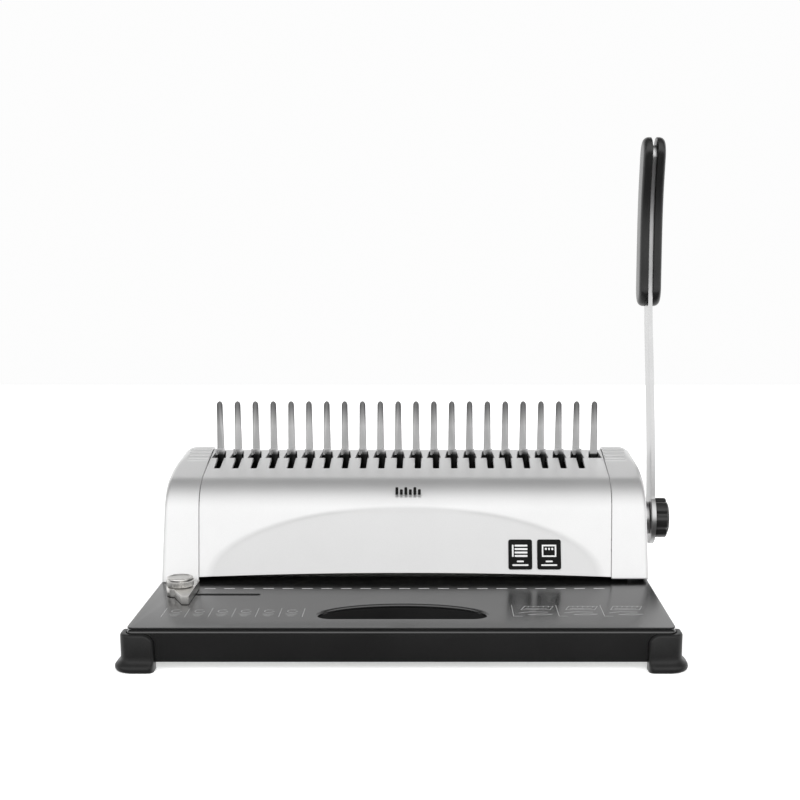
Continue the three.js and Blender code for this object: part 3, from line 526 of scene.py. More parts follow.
def body_path(front_y, top_z, slope, rear_y, steps, flats):
    """Side outline of a cover from the front foot over the top to the rear foot, with normals.

    steps is the number of pieces in each rounding, flats the number in each straight stretch.
    """
    rise = math.pi / 2 - FRONT_LEAN
    fall = -(math.pi / 2 - REAR_LEAN)
    front, top, rear = (front_y, TABLE_Z), (FINGER_Y, top_z), (rear_y, TABLE_Z)
    first = fillet(cross_lines(front, rise, top, slope), rise, slope, FRONT_RADIUS, steps)
    second = fillet(cross_lines(top, slope, rear, fall), slope, fall, REAR_RADIUS, steps)
    feet = [
        (*front, -math.cos(FRONT_LEAN), math.sin(FRONT_LEAN)),
        (*rear, math.cos(REAR_LEAN), math.sin(REAR_LEAN)),
    ]

    def between(a, b, count):
        return [tuple(a[k] + (b[k] - a[k]) * i / count for k in range(4)) for i in range(1, count)]

    return (
        [feet[0]] + between(feet[0], first[0], flats[0]) + first
        + between(first[-1], second[0], flats[1]) + second
        + between(second[-1], feet[1], flats[2]) + [feet[1]]
    )


MAIN = (TABLE_DEPTH + SETBACK, CREST_Z, TOP_SLOPE, BODY_REAR - 1)
SIDE = (TABLE_DEPTH, CREST_Z + SIDE_RISE, SIDE_SLOPE, BODY_REAR)


SEAM_FOOT = SEAM_X - 0.9
SEAM_LEAN = 2.8


def seam(z):
    """Distance of the cover seams from the middle; they lean outwards towards the top."""
    return SEAM_FOOT + SEAM_LEAN * (z - TABLE_Z) / (CREST_Z - TABLE_Z)


def on_top(slope, lift, x, along, up):
    """Point on a sloping top: along it from the finger line, and up from its surface."""
    y = FINGER_Y + along * math.cos(slope) - up * math.sin(slope)
    z = CREST_Z + lift + along * math.sin(slope) + up * math.cos(slope)
    return (x, y, z)


def on_front(x, up, out):
    """Point on the main cover's front face: up it from the table, and out from its surface."""
    y = MAIN[0] + up * math.sin(FRONT_LEAN) - out * math.cos(FRONT_LEAN)
    z = TABLE_Z + up * math.cos(FRONT_LEAN) + out * math.sin(FRONT_LEAN)
    return (x, y, z)


CUTTER_RISE = 4.0


def top_cutter(slope, lift, outline, depth, flare=0.4):
    """Cutter normal to a sloping top, with a small chamfer where it breaks the surface."""
    cx = sum(p[0] for p in outline) / len(outline)
    cy = sum(p[1] for p in outline) / len(outline)
    half_x = max(p[0] for p in outline) - cx
    half_y = max(p[1] for p in outline) - cy

    def ring(up, grow):
        wider, longer = 1 + grow / half_x, 1 + grow / half_y
        return [on_top(slope, lift, cx + (x - cx) * wider, cy + (y - cy) * longer, up) for x, y in outline]

    return loft([ring(-depth, 0), ring(-flare, 0), ring(0, flare), ring(CUTTER_RISE, flare)])


# ---------------------------------------------------------------- main cover

def scoop_depth(x, z):
    """Shallow half-round recess on the front, open towards the bottom edge."""
    edge_width = 3.5
    reach = math.hypot(x / SCOOP_HALF, max(0.0, z - TABLE_Z - SCOOP_FOOT) / SCOOP_HEIGHT)
    edge = min(1.0, max(0.0, (1 - reach) * SCOOP_HEIGHT / edge_width))
    soft = edge * edge * (3 - 2 * edge)
    return soft * (0.35 + 0.9 * (1 - reach))


def main_cover():
    """Front shell with an arched throat edge, a scooped face, hook slots and finger openings."""
    columns, straight = 168, 44
    path = [p for p in body_path(*MAIN, steps=14, flats=(straight, 1, 1)) if p[0] < SPLIT_Y]
    top_y, top_z = path[straight][:2]
    end_y, end_z, end_ny, end_nz = path[-1]
    edge_z = end_z - end_ny * (SPLIT_Y - end_y) / end_nz
    rings = []
    for c in range(columns + 1):
        across = 2 * c / columns - 1
        foot = 4 + 3 * (1 - across ** 2)
        bottom_y, bottom_z = MAIN[0] + foot * math.tan(FRONT_LEAN), TABLE_Z + foot
        ring = []
        for i, (y, z, ny, nz) in enumerate(path):
            if i < straight:
                y = bottom_y + (top_y - bottom_y) * i / straight
                z = bottom_z + (top_z - bottom_z) * i / straight
            x = across * (seam(z) - SEAM_GAP)
            depth = scoop_depth(x, z) if i <= straight else 0
            ring.append((x, y - ny * depth, z - nz * depth))
        ring.append((across * (seam(edge_z) - SEAM_GAP), SPLIT_Y, edge_z))
        rings.append(ring)
    shell = lofted("main_cover_shell", rings, cap_start=False, cap_end=False, closed=False)
    cover = walled(shell)
    half, rear, front, corner, depth = 2.4, -10.0, -35.4, 1.4, 6
    cutters = []
    for x in HOOKS:
        outline = (
            arc(x + half - corner, front + corner, corner, -90, 0, 4)
            + [(x + half, rear), (x - half, rear)]
            + arc(x - half + corner, front + corner, corner, 180, 270, 4)
        )
        cutters.append(top_cutter(TOP_SLOPE, 0, outline, depth))
    combine(cover, merged("slot_cutter", cutters))
    cutters = []
    for x in FINGERS:
        outline = [(x - 5.4, -12.6), (x + 5.4, -12.6), (x + 3.6, 1.8), (x - 3.6, 1.8)]
        cutters.append(top_cutter(TOP_SLOPE, 0, outline, depth, flare=0.25))
    combine(cover, merged("opening_cutter", cutters))
    fit(cover, "base", "silver_shell", ["main_cover"], COVER_PAINT_SCOOP_SHADE)


def rear_cover():
    start_y, half_columns = SPLIT_Y + SEAM_GAP, 20
    path = [p for p in body_path(*MAIN, steps=20, flats=(1, 1, 6)) if p[0] > start_y]
    y, z, ny, nz = path[0]
    path.insert(0, (start_y, z - ny * (start_y - y) / nz, ny, nz))
    y, z, ny, nz = path[-1]
    path[-1] = (y, z + SEAM_GAP, ny, nz)
    rings = [
        [((c / half_columns - 1) * (seam(z) - SEAM_GAP), y, z) for y, z, _, _ in path]
        for c in range(2 * half_columns + 1)
    ]
    shell = lofted("rear_cover_shell", rings, cap_start=False, cap_end=False, closed=False)
    cover = walled(shell)
    bevelled(cover, 0.35, 2, 60)
    fit(cover, "base", "silver_shell", ["rear_cover"])


# ---------------------------------------------------------------- side covers

GROOVES = (
    (-0.2, 157.2, 175.0), (-6.4, 156.8, 174.4), (-12.9, 156.8, 173.8), (-19.7, 156.8, 173.2),
)


def side_cover(side):
    """End cap whose outer edge is tight down the front and wide over the top."""
    name = "right" if side > 0 else "left"
    path = body_path(*SIDE, steps=18, flats=(10, 8, 8))
    lift = 2.8 if side > 0 else SEAM_GAP
    tight, widening, blend_depth = 4.0, 8.2, 38
    arc_steps, columns = 10, 6
    rings = []
    for i, (y, z, ny, nz) in enumerate(path):
        nearness = min(1.0, max(0.0, (y - FINGER_Y + blend_depth) / blend_depth)) ** 1.5
        radius = tight + widening * nearness * max(0.0, nz) ** 0.5
        if i == 0:
            y, z = y + lift * math.tan(FRONT_LEAN), z + lift
        inner = seam(z)
        if i == len(path) - 1:
            z += SEAM_GAP
        ring = [(inner + (BODY_HALF - radius - inner) * c / columns, y, z) for c in range(columns)]
        for k in range(arc_steps + 1):
            turn = math.pi / 2 * k / arc_steps
            drop = radius * (1 - math.cos(turn))
            ring.append((BODY_HALF - radius * (1 - math.sin(turn)), y - ny * drop, z - nz * drop))
        rings.append([(side * x, py, pz) for x, py, pz in ring])
    points, faces = loft(rings, False, False, closed=False)
    count = columns + arc_steps + 1
    # The flat end wall is one face between the front and the rear edge.
    faces.append([r * count + count - 1 for r in range(len(rings))])
    cover = walled(mesh_object(f"side_cover_shell_{name}", points, faces))
    bevelled(cover, 0.6, 3, 60)
    if side > 0:
        combine(cover, prism("bore_cutter", shaft_ring(6.2, 40), SEAM_X, BODY_HALF + 2))
    half, point, depth = 0.7, 0.6, 1.1
    grooves = []
    for along, near, far in GROOVES:
        outline = [
            (side * (near + point), along - half), (side * (far - point), along - half), (side * far, along),
            (side * (far - point), along + half), (side * (near + point), along + half), (side * near, along),
        ]
        if side < 0:
            outline.reverse()
        grooves.append(top_cutter(SIDE_SLOPE, SIDE_RISE, outline, depth, flare=0.3))
    combine(cover, merged("groove_cutter", grooves))
    fit(cover, "base", "silver_shell", [f"side_cover_{name}"])


main_cover()
rear_cover()
for cap_side in (-1, 1):
    side_cover(cap_side)


# ---------------------------------------------------------------- base

def plan_ring(inset, z):
    """Outline of the base, drawn in by inset."""
    radius = 5.0
    corner = max(0.4, radius - inset)
    half = BASE_HALF - inset
    return [(x, y, z) for x, y in rounded_rectangle(-half, half, inset, BASE_DEPTH - inset, corner, 10)]


def hand_hole(grow):
    """Half-round outline of the hand hole, wider by grow all round."""
    front_y, radius, steps = 22.3, 9.3, 40
    half, corner = 57.6 + grow, radius + grow
    cy = front_y + radius
    points = arc(half - corner, cy, corner, -90, 0, 8)
    points += [
        (half * math.cos(math.pi * i / steps), cy + (27.5 + grow) * math.sin(math.pi * i / steps))
        for i in range(1, steps)
    ]
    return points + arc(corner - half, cy, corner, 180, 270, 8)


def base_housing():
    """Skirt with a thin overhanging plate on it, cut for the hand, the guide, the die and the tray."""
    top = TABLE_Z
    rings = [plan_ring(2.5, top - 2.5), plan_ring(2.5, BASE_BOTTOM), plan_ring(1.9, BASE_BOTTOM)]
    rings += [plan_ring(0.35 * (1 - k / 2), BASE_BOTTOM + 0.35 * k / 2) for k in range(3)]
    rings += [plan_ring(inset, top - 2.3 - drop) for inset, drop in quarter(6, 1.5)]
    rings += [plan_ring(1.9, top - 2.3), plan_ring(1.9, top - 1.1), plan_ring(0.5, top - 1.1)]
    rings += [plan_ring(0.45 + inset, top - drop) for inset, drop in quarter(4, 0.35)]
    housing = lofted("base_shell", rings)
    lip = 1.4
    flare = [(0, BASE_BOTTOM - 4), (0, top - 1.6)]
    flare += [(inset, top - 0.2 - drop) for inset, drop in quarter(5, lip)[1:]]
    flare += [(1.5, top + 0.05), (1.5, top + 4)]
    hole = loft([[(x, y, z) for x, y in hand_hole(grow)] for grow, z in flare])
    knob_x, knob_y, _ = middle("guide_knob")
    travel, half = 57.5, 2.5
    slot = loft([
        [(x, y, z) for x, y in rounded_rectangle(
            knob_x - 5 - grow, knob_x + travel + grow, knob_y - half - grow, knob_y + half + grow, 2.4, 6,
        )]
        for grow, z in ((0, top - 5), (0, top - 0.5), (0.4, top - 0.05), (0.4, top + 3))
    ])
    low, high = extent("die_plate")
    die = box_part(low.x - 0.3, high.x + 0.3, low.y - 0.3, high.y + 0.3, top - 5, top + 3)
    low, high = extent("chip_tray")
    mouth = box_part(-BASE_HALF - 3, -BASE_HALF + 4, low.y - 0.5, high.y + 0.5, low.z - 0.3, high.z + 0.5)
    combine(housing, merged("base_cutter", [hole, slot, die, mouth]))
    fit(housing, "base", "table_black", ["base_housing"])


def hand_liner():
    low, high = extent("hand_grip_liner")
    wall, edge = 2.5, 0.4
    profile = [(0.0, low.z), (0.0, high.z - edge), (edge, high.z)]
    profile += [(wall - edge, high.z), (wall, high.z - edge), (wall, low.z)]
    rings = [[(x, y, z) for x, y in hand_hole(grow)] for grow, z in profile]
    liner = lofted("hand_hole_wall", rings + rings[:1], cap_start=False, cap_end=False)
    fit(liner, "base", "tray_black", ["hand_grip_liner"])


def foot(side, rear):
    """Rubber corner: a wall round the base, a bulging rim and a tread under the base's edges."""
    reach, wall, rim, corner, gap = 18.6, 4.2, 4.2, 5.0, 0.3
    cup_top, pad, top_radius = 25.4, BASE_BOTTOM - 0.3, 7.6
    straight = reach - corner
    arc_length = math.pi / 2 * corner
    total = 2 * straight + arc_length
    near = [0, 0.25, 0.8, 1.6, 2.6, 3.8, 5.2, 6.4, 7.6, 10, 12.4, straight]
    marks = near + [straight + arc_length * k / 14 for k in range(1, 14)]
    marks += [total - mark for mark in reversed(near)]
    stations = []
    for s in marks:
        if s <= straight:
            centre, normal = (reach - s, 0.0), (0.0, -1.0)
        elif s >= total - straight:
            centre, normal = (0.0, reach - (total - s)), (-1.0, 0.0)
        else:
            turn = (s - straight) / corner
            normal = (-math.sin(turn), -math.cos(turn))
            centre = (corner + corner * normal[0], corner + corner * normal[1])
        end = min(s, total - s)
        round_top = top_radius - math.sqrt(top_radius ** 2 - max(0.0, top_radius - end) ** 2)
        round_wall = math.sqrt(max(0.0, 1 - (1 - min(1.0, (end + 0.15) / 1.8)) ** 2))
        round_rim = math.sqrt(max(0.0, 1 - (1 - min(1.0, end / 5.0)) ** 2))
        height = cup_top - round_top
        out = gap + 0.5 + (wall - 0.5) * round_wall
        bulge = rim * round_rim
        profile = [
            (-4.6, 0.0), (-4.6, pad), (gap, pad), (gap, height - 0.9), (0.75, height - 0.15), (1.4, height),
            (out - 1.2, height - 0.1), (out - 0.4, height - 0.6), (out, height - 1.6), (out, 11.0),
            (out + bulge * 0.03, 8.4), (out + bulge * 0.16, 6.9), (out + bulge * 0.42, 5.8),
            (out + bulge * 0.74, 5.0), (out + bulge * 0.94, 4.0), (out + bulge, 2.7),
            (out + bulge * 0.95, 1.4), (out + bulge * 0.80, 0.5), (out + bulge * 0.55, 0.0),
        ]
        ring = []
        for d, z in profile:
            x = centre[0] + normal[0] * d
            y = centre[1] + normal[1] * d
            px = side * (BASE_HALF - x)
            py = BASE_DEPTH - y if rear else y
            ring.append((px, py, z))
        stations.append(ring)
    corner_name = f"{'rear' if rear else 'front'}_{'right' if side > 0 else 'left'}"
    cup = lofted(f"foot_cup_{corner_name}", stations, 38)
    fit(cup, "base", "foot_rubber", [f"foot_{corner_name}"])


base_housing()
hand_liner()
for foot_side in (-1, 1):
    for foot_rear in (False, True):
        foot(foot_side, foot_rear)


# ---------------------------------------------------------------- fingers and hooks

def finger_comb():
    """Upright fingers with arched tips on one web, as one bevelled plate."""
    (_, y0, low_z), (tab, y1, _) = extent("finger_comb")
    foot_half, tip_half, tip_rise, arch_steps = 3.15, 2.35, 3.2, 10
    web_top, tab_top = CREST_Z - 8, TABLE_Z + 22
    half_web = FINGERS[-1] + foot_half + 1
    outline = [(-tab, low_z), (tab, low_z), (tab, tab_top), (half_web, tab_top), (half_web, web_top)]
    for x in reversed(FINGERS):
        outline.append((x + foot_half, web_top))
        for k in range(arch_steps + 1):
            turn = math.pi * k / arch_steps
            outline.append((x + tip_half * math.cos(turn), FINGER_TOP + tip_rise * (math.sin(turn) - 1)))
        outline.append((x - foot_half, web_top))
    outline += [(-half_web, web_top), (-half_web, tab_top), (-tab, tab_top)]
    comb = lofted("finger_row", [[(x, y, z) for x, z in outline] for y in (y0, y1)])
    bevelled(comb, 0.5, 3, 60, 40)
    fit(comb, "base", "bright_steel", ["finger_comb"], FINGER_PAINTED_SHADE)


def hook_row():
    """Hook plate with painted shade low in the slots; the stems have a material of their own, with painted
    shade that is black inside the slots and brightens just above the crest.
    """
    row = refined("hook_plate", "hook_row", 0.32)
    stem_half = 2.3
    lefts = [place((x - stem_half, 0, 0)) for x in HOOKS]
    bm = bmesh.new()
    bm.from_mesh(row.data)
    for left in lefts:
        everything = bm.verts[:] + bm.edges[:] + bm.faces[:]
        bmesh.ops.bisect_plane(bm, geom=everything, plane_co=left, plane_no=(1, 0, 0))
    bm.to_mesh(row.data)
    bm.free()
    fit(row, "hooks", "bright_steel", ["hook_plate"], HOOK_PAINTED_SHADE)
    row.data.materials.append(HOOK_STEM_PAINTED_SHADE)
    # Stem faces take the second material, the one with painted shade.
    for face in row.data.polygons:
        if any(0 < face.center.x - left[0] < 2 * stem_half * MM for left in lefts):
            face.material_index = 1


def return_spring(side):
    """Coil between the base and the punch bar."""
    node = f"return_spring_{side}"
    coil = refined(node, f"spring_coil_{side}", 0.04, 1, angle=40)
    fit(coil, "base", "spring_steel", [node])
    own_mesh(coil)


finger_comb()
hook_row()
for spring_side in ("left", "right"):
    return_spring(spring_side)


# ---------------------------------------------------------------- lever

# The bar's middle line from the shaft up, as [y, z].
LEVER_LINE = [
    (0, 0), (6.5, 47.1), (22.9, 105.5), (41.2, 164.9), (44.5, 202.3), (45, 249.6), (36.5, 298.1),
]


def catmull(points, steps):
    """Centripetal Catmull-Rom curve through the points."""
    first = (2 * points[0][0] - points[1][0], 2 * points[0][1] - points[1][1])
    last = (2 * points[-1][0] - points[-2][0], 2 * points[-1][1] - points[-2][1])
    knots = [first] + list(points) + [last]
    result = []
    for i in range(1, len(knots) - 2):
        p = knots[i - 1:i + 3]
        t = [0.0]
        for a, b in zip(p, p[1:]):
            t.append(t[-1] + math.hypot(b[0] - a[0], b[1] - a[1]) ** 0.5)
        for k in range(steps):
            at = t[1] + (t[2] - t[1]) * k / steps

            def mix(a, b, ta, tb):
                return tuple((tb - at) / (tb - ta) * a[n] + (at - ta) / (tb - ta) * b[n] for n in (0, 1))

            a1, a2, a3 = (mix(p[j], p[j + 1], t[j], t[j + 1]) for j in range(3))
            b1, b2 = mix(a1, a2, t[0], t[2]), mix(a2, a3, t[1], t[3])
            result.append(mix(b1, b2, t[1], t[2]))
    result.append(points[-1])
    return result


CURVE = catmull(LEVER_LINE, 40)
LENGTHS = [0.0]
for here, there in zip(CURVE, CURVE[1:]):
    LENGTHS.append(LENGTHS[-1] + math.hypot(there[0] - here[0], there[1] - here[1]))
LEVER_LENGTH = LENGTHS[-1]


def on_lever(distance):
    """Point and heading on the lever's middle line."""
    distance = min(max(distance, 0.0), LEVER_LENGTH)
    i = max(k for k in range(len(LENGTHS) - 1) if LENGTHS[k] <= distance)
    share = (distance - LENGTHS[i]) / (LENGTHS[i + 1] - LENGTHS[i])
    a, b = CURVE[i], CURVE[i + 1]
    before, after = CURVE[max(0, i - 1)], CURVE[min(len(CURVE) - 1, i + 2)]
    dy, dz = after[0] - before[0], after[1] - before[1]
    size = math.hypot(dy, dz)
    return (
        SHAFT_Y + a[0] + (b[0] - a[0]) * share, SHAFT_Z + a[1] + (b[1] - a[1]) * share, dy / size, dz / size,
    )


def strip(start, end, wide_start, wide_end, cap_start, cap_end, inset=0.0, steps=60):
    """Outline of a strip along the lever line with elliptical ends."""
    start, end = start + inset, end - inset
    length = end - start
    cap_steps, least_half = 12, 0.02
    turns = [math.pi / 2 * k / cap_steps for k in range(cap_steps + 1)]
    places = [cap_start * (1 - math.cos(turn)) for turn in turns[:-1]] if cap_start else []
    places += [cap_start + (length - cap_start - cap_end) * k / steps for k in range(steps + 1)]
    places += [length - cap_end + cap_end * math.sin(turn) for turn in turns[1:]] if cap_end else []
    left, right = [], []
    for place_at in places:
        y, z, dy, dz = on_lever(start + place_at)
        half = (wide_start + (wide_end - wide_start) * place_at / length) / 2 - inset
        for cap, gone in ((cap_start, place_at), (cap_end, length - place_at)):
            if cap:
                rest = max(0.0, cap - gone) / cap
                half *= math.sqrt(max(0.0, 1 - rest * rest))
        half = max(half, least_half)
        left.append((y - dz * half, z + dy * half))
        right.append((y + dz * half, z - dy * half))
    return left + right[::-1]


def lever_bar():
    """Tapered bar with a round hub, which sits on the shaft's hexagon."""
    x0, x1 = LEVER_X
    hub_radius, across_flats = 20.5, 8.4
    bar = prism("lever_bar", strip(0, LEVER_LENGTH - 6, 26, 18, 0, 9), x0, x1, 30)
    combine(bar, prism("lever_hub", shaft_ring(hub_radius, 96), x0, x1, 30), "UNION")
    combine(bar, prism("hexagon_cutter", shaft_ring(across_flats / math.sqrt(3), 6), x0 - 1, x1 + 1))
    bevelled(bar, 0.45, 3, 50, 30)
    fit(bar, "lever", "bright_steel", ["lever"])


def grip_half(node, outward):
    """Half of the grip: flat against the bar, rounded on its outer face."""
    x_low, x_high = (corner.x for corner in extent(node))
    inner = x_low if outward > 0 else x_high
    length, width, cap, edge, thickness = 133, 25, 11, 2.3, 4.6
    profile = [(0.35, 0.0), (0.0, 0.35), (0.0, edge)]
    profile += [(inset, edge + thickness - drop) for inset, drop in quarter(9, thickness)[1:]]
    rings = []
    for inset, out in profile:
        outline = strip(LEVER_LENGTH - length, LEVER_LENGTH, width, width, cap, cap, inset, 40)
        rings.append([(inner + outward * out, y, z) for y, z in outline])
    fit(lofted(f"{node}_shell", rings, 50), "lever", "grip_black", [node])


def disc(node, name, body, slot, edge):
    """Disc round the shaft with rounded rims and an open bore."""
    low, high = extent(node)
    radius, bore, chamfer, steps = (high.z - low.z) / 2, 5.0, 0.3, 72
    rim = [(inset, radius - drop) for inset, drop in quarter(4, edge)]
    profile = [(low.x + chamfer, bore), (low.x, bore + chamfer)]
    profile += [(low.x + inset, r) for inset, r in rim]
    profile += [(high.x - inset, r) for inset, r in reversed(rim)]
    profile += [(high.x, bore + chamfer), (high.x - chamfer, bore)]
    rings = [[(x, y, z) for y, z in shaft_ring(r, steps)] for x, r in profile]
    fit(lofted(name, rings + rings[:1], 40, cap_start=False, cap_end=False), body, slot, [node])


def lever_knob():
    """Fluted clamping knob with a raised centre on its outer end."""
    low, high = extent("lever_knob")
    radius, lobes, flute, steps = 16.0, 7, 1.7, 168
    phase = math.radians(184.5)
    profile = [
        (low.x, 0.80, 0.2), (low.x, 0.93, 0.6), (low.x + 0.7, 1.0, 1.0), (high.x - 2.6, 1.0, 1.0),
        (high.x - 1.9, 0.975, 1.0), (high.x - 1.5, 0.93, 1.0), (high.x - 1.4, 0.86, 0.8),
        (high.x - 1.3, 0.80, 0.3), (high.x - 0.5, 0.77, 0.1), (high.x - 0.1, 0.72, 0.0), (high.x, 0.66, 0.0),
        (high.x, 0.34, 0.0), (high.x - 0.5, 0.30, 0.0),
    ]
    rings = []
    for x, scale, depth in profile:
        ring = []
        for k in range(steps):
            angle = 2 * math.pi * k / steps
            wave = (0.5 - 0.5 * math.cos(lobes * (angle - phase))) ** 3
            r = radius * scale - flute * depth * wave
            ring.append((x, SHAFT_Y + r * math.cos(angle), SHAFT_Z + r * math.sin(angle)))
        rings.append(ring)
    fit(lofted("clamp_knob", rings, 35), "lever_knob", "grip_black", ["lever_knob"])


lever_bar()
grip_half("grip_inner", -1)
grip_half("grip_outer", 1)
disc("pivot_washer", "pivot_disc", "base", "grip_black", 0.7)
disc("lever_collar", "collar_disc", "lever", "bright_steel", 0.9)
lever_knob()


# ---------------------------------------------------------------- edge guide

def guide_knob():
    """Knurled knob with a bright rim and a dished top."""
    low, high = extent("guide_knob")
    cx, cy, _ = middle("guide_knob")
    radius = (high.x - low.x) / 2
    teeth, groove = 54, 0.42
    profile = [
        (low.z, radius - 2.2, 0.0), (low.z, radius - 0.9, 0.0), (low.z + 0.5, radius - 0.35, 0.3),
        (low.z + 0.9, radius, 1.0), (high.z - 2.5, radius, 1.0), (high.z - 2.1, radius - 0.4, 0.2),
        (high.z - 1.8, radius - 0.35, 0.0), (high.z - 0.8, radius - 0.3, 0.0),
        (high.z - 0.25, radius - 0.6, 0.0), (high.z, radius - 1.2, 0.0), (high.z, radius - 2.0, 0.0),
        (high.z - 0.45, radius - 2.6, 0.0), (high.z - 0.6, radius - 4.5, 0.0), (high.z - 0.65, 0.5, 0.0),
    ]
    steps = teeth * 4
    rings = []
    for z, r, knurl in profile:
        ring = []
        for k in range(steps):
            angle = 2 * math.pi * k / steps
            reach = r - knurl * groove if k % 4 in (0, 1) else r
            ring.append((cx + reach * math.cos(angle), cy + reach * math.sin(angle), z))
        rings.append(ring)
    fit(lofted("knurled_knob", rings, 30), "guide_knob", "guide_metal", ["guide_knob"])


guide_knob()
fit(refined("guide_block", "guide_bar", 0.4, 3, 40), "edge_guide", "guide_metal", ["guide_block"])
fit(refined("guide_bolt", "guide_stud", 0.25, 2, 40), "edge_guide", "guide_metal", ["guide_bolt"])


# ---------------------------------------------------------------- inside

fit(refined("chip_tray", "chip_drawer", 0.45), "tray", "tray_black", ["chip_tray"])
fit(refined("die_plate", "die_strip", 0.15, 1), "base", "tool_steel", ["die_plate"])
fit(refined("punch_guide", "punch_guide_bar", 0.25, 2), "base", "zinc_steel", ["punch_guide"])


# ---------------------------------------------------------------- prints and labels

def stroke(points, width):
    """Flat ribbon along a line of [x, y] points."""
    result = []
    for (ax, ay), (bx, by) in zip(points, points[1:]):
        dx, dy = bx - ax, by - ay
        size = math.hypot(dx, dy)
        nx, ny = -dy / size * width / 2, dx / size * width / 2
        result.append([(ax + nx, ay + ny), (ax - nx, ay - ny), (bx - nx, by - ny), (bx + nx, by + ny)])
    return result


def plate_on(surface, outline, low, high):
    """Thin plate with this outline on a surface given as a function of [x, along, out]."""
    return loft([[surface(x, v, out) for x, v in outline] for out in (low, high)])


def table_surface(x, y, out):
    return (x, y, TABLE_Z + out)


def print_on(name, surface, outlines, low, high, material, slot):
    obj = merged(name, [plate_on(surface, outline, low, high) for outline in outlines])
    fit(obj, "base", slot, material=material)


hole_marks = [rounded_rectangle(x - 4, x + 4, 100.7, 101.8, 0.3, 2) for x in HOLES]
print_on("hole_marks", table_surface, hole_marks, 0.01, 0.05, PRINT_LIGHT, "table_black")


def sheet_icon(x, y, wide, deep, slant):
    """Generic open sheet: an outline with a row of ring marks."""
    skew = lambda u, v: (x + u * wide + v * slant, y + v * deep)
    outline = [skew(0, 0), skew(1, 0), skew(1, 1), skew(0, 1), skew(0, 0)]
    strokes = stroke(outline, 0.35)
    for k in range(5):
        u = 0.15 + 0.175 * k
        strokes += stroke([skew(u, 0.72), skew(u, 0.95)], 0.45)
    strokes += stroke([skew(0.1, 0.4), skew(0.85, 0.4)], 0.35)
    strokes += stroke([skew(0.1, 0.22), skew(0.6, 0.22)], 0.35)
    return strokes


def left_panel():
    """A row of open rings with lines under them, between upright bars."""
    count, step, first_bar = 6, 16.0, -164
    strokes = []
    for k in range(count + 1):
        x = first_bar + step * k
        strokes += stroke([(x, 26), (x, 48)], 0.3)
    for k in range(count):
        cx = first_bar + step * (k + 0.5)
        strokes += stroke(arc(cx, 40.5, 3.4, 45, 360, 14), 0.4)
        for half, y in ((4, 33.5), (3, 31), (2, 28.5)):
            strokes += stroke([(cx - half, y), (cx + half, y)], 0.35)
    return strokes


def right_panel():
    """Three sketches of a sheet over a waving line and a flat loop."""
    strokes = []
    for k in range(3):
        x = 76 + 31 * k
        strokes += stroke([(x, 56), (x, 28), (x + 6, 28)], 0.35)
        strokes += sheet_icon(x + 6, 44, 20, 9, 3)
        strokes += stroke([(x + 4, 36), (x + 12, 39), (x + 24, 38)], 0.5)
        strokes += stroke([(x + 10, 32), (x + 18, 34), (x + 27, 33), (x + 20, 31), (x + 10, 32)], 0.4)
    return strokes


print_on("left_diagrams", table_surface, left_panel(), 0.01, 0.04, PRINT_FAINT, "table_black")
print_on("right_diagrams", table_surface, right_panel(), 0.01, 0.04, PRINT_FAINT, "table_black")

LABEL_LOW, LABEL_HIGH, LABEL_HALF = 9.9, 32.5, 8.9
LABELS = (86.3, 107.9)
for index, label_x in enumerate(LABELS):
    body = rounded_rectangle(label_x - LABEL_HALF, label_x + LABEL_HALF, LABEL_LOW, LABEL_HIGH, 1.6, 6)
    print_on(f"label_plate_{index + 1}", on_front, [body], -1.6, 0.18, LABEL_BLACK, "silver_shell")


def label_symbols():
    """Bars as [from, to, low, high, corner], across from a label's middle and up from its edge."""
    stack = [(-4.2, 5.4, 9.4 + 2.6 * k, 10.8 + 2.6 * k, 0.4) for k in range(4)]
    stack.append((-6.2, -5.0, 9.4, 18.6, 0.5))
    sheet = [
        (-5.4, 5.4, 9.4, 10.5, 0.2), (-5.4, 5.4, 17.4, 18.6, 0.2),
        (-5.4, -4.3, 10.5, 17.4, 0.2), (4.3, 5.4, 10.5, 17.4, 0.2),
    ]
    sheet += [(-3.1 + 2.4 * k, -1.7 + 2.4 * k, 14.6, 16.2, 0.3) for k in range(3)]
    lines = [(-2.6, 2.6, 5.4, 6.6, 0.4), (-6.0, 6.0, 2.6, 3.8, 0.4)]
    marks = []
    for cx, bars in zip(LABELS, (stack + lines, sheet + lines)):
        for x0, x1, low, high, corner in bars:
            marks.append(rounded_rectangle(cx + x0, cx + x1, LABEL_LOW + low, LABEL_LOW + high, corner, 2))
    return marks


print_on("label_symbols", on_front, label_symbols(), 0.16, 0.26, PRINT_LIGHT, "silver_shell")
front_mark = [
    rounded_rectangle(-7.6 + 3.4 * k, -5.4 + 3.4 * k, 66.6, 72.4 - 1.6 * (k % 2), 0.7, 4) for k in range(6)
]
print_on("front_mark", on_front, front_mark, -0.4, 0.14, LABEL_BLACK, "silver_shell")


# ---------------------------------------------------------------- stage, light and camera

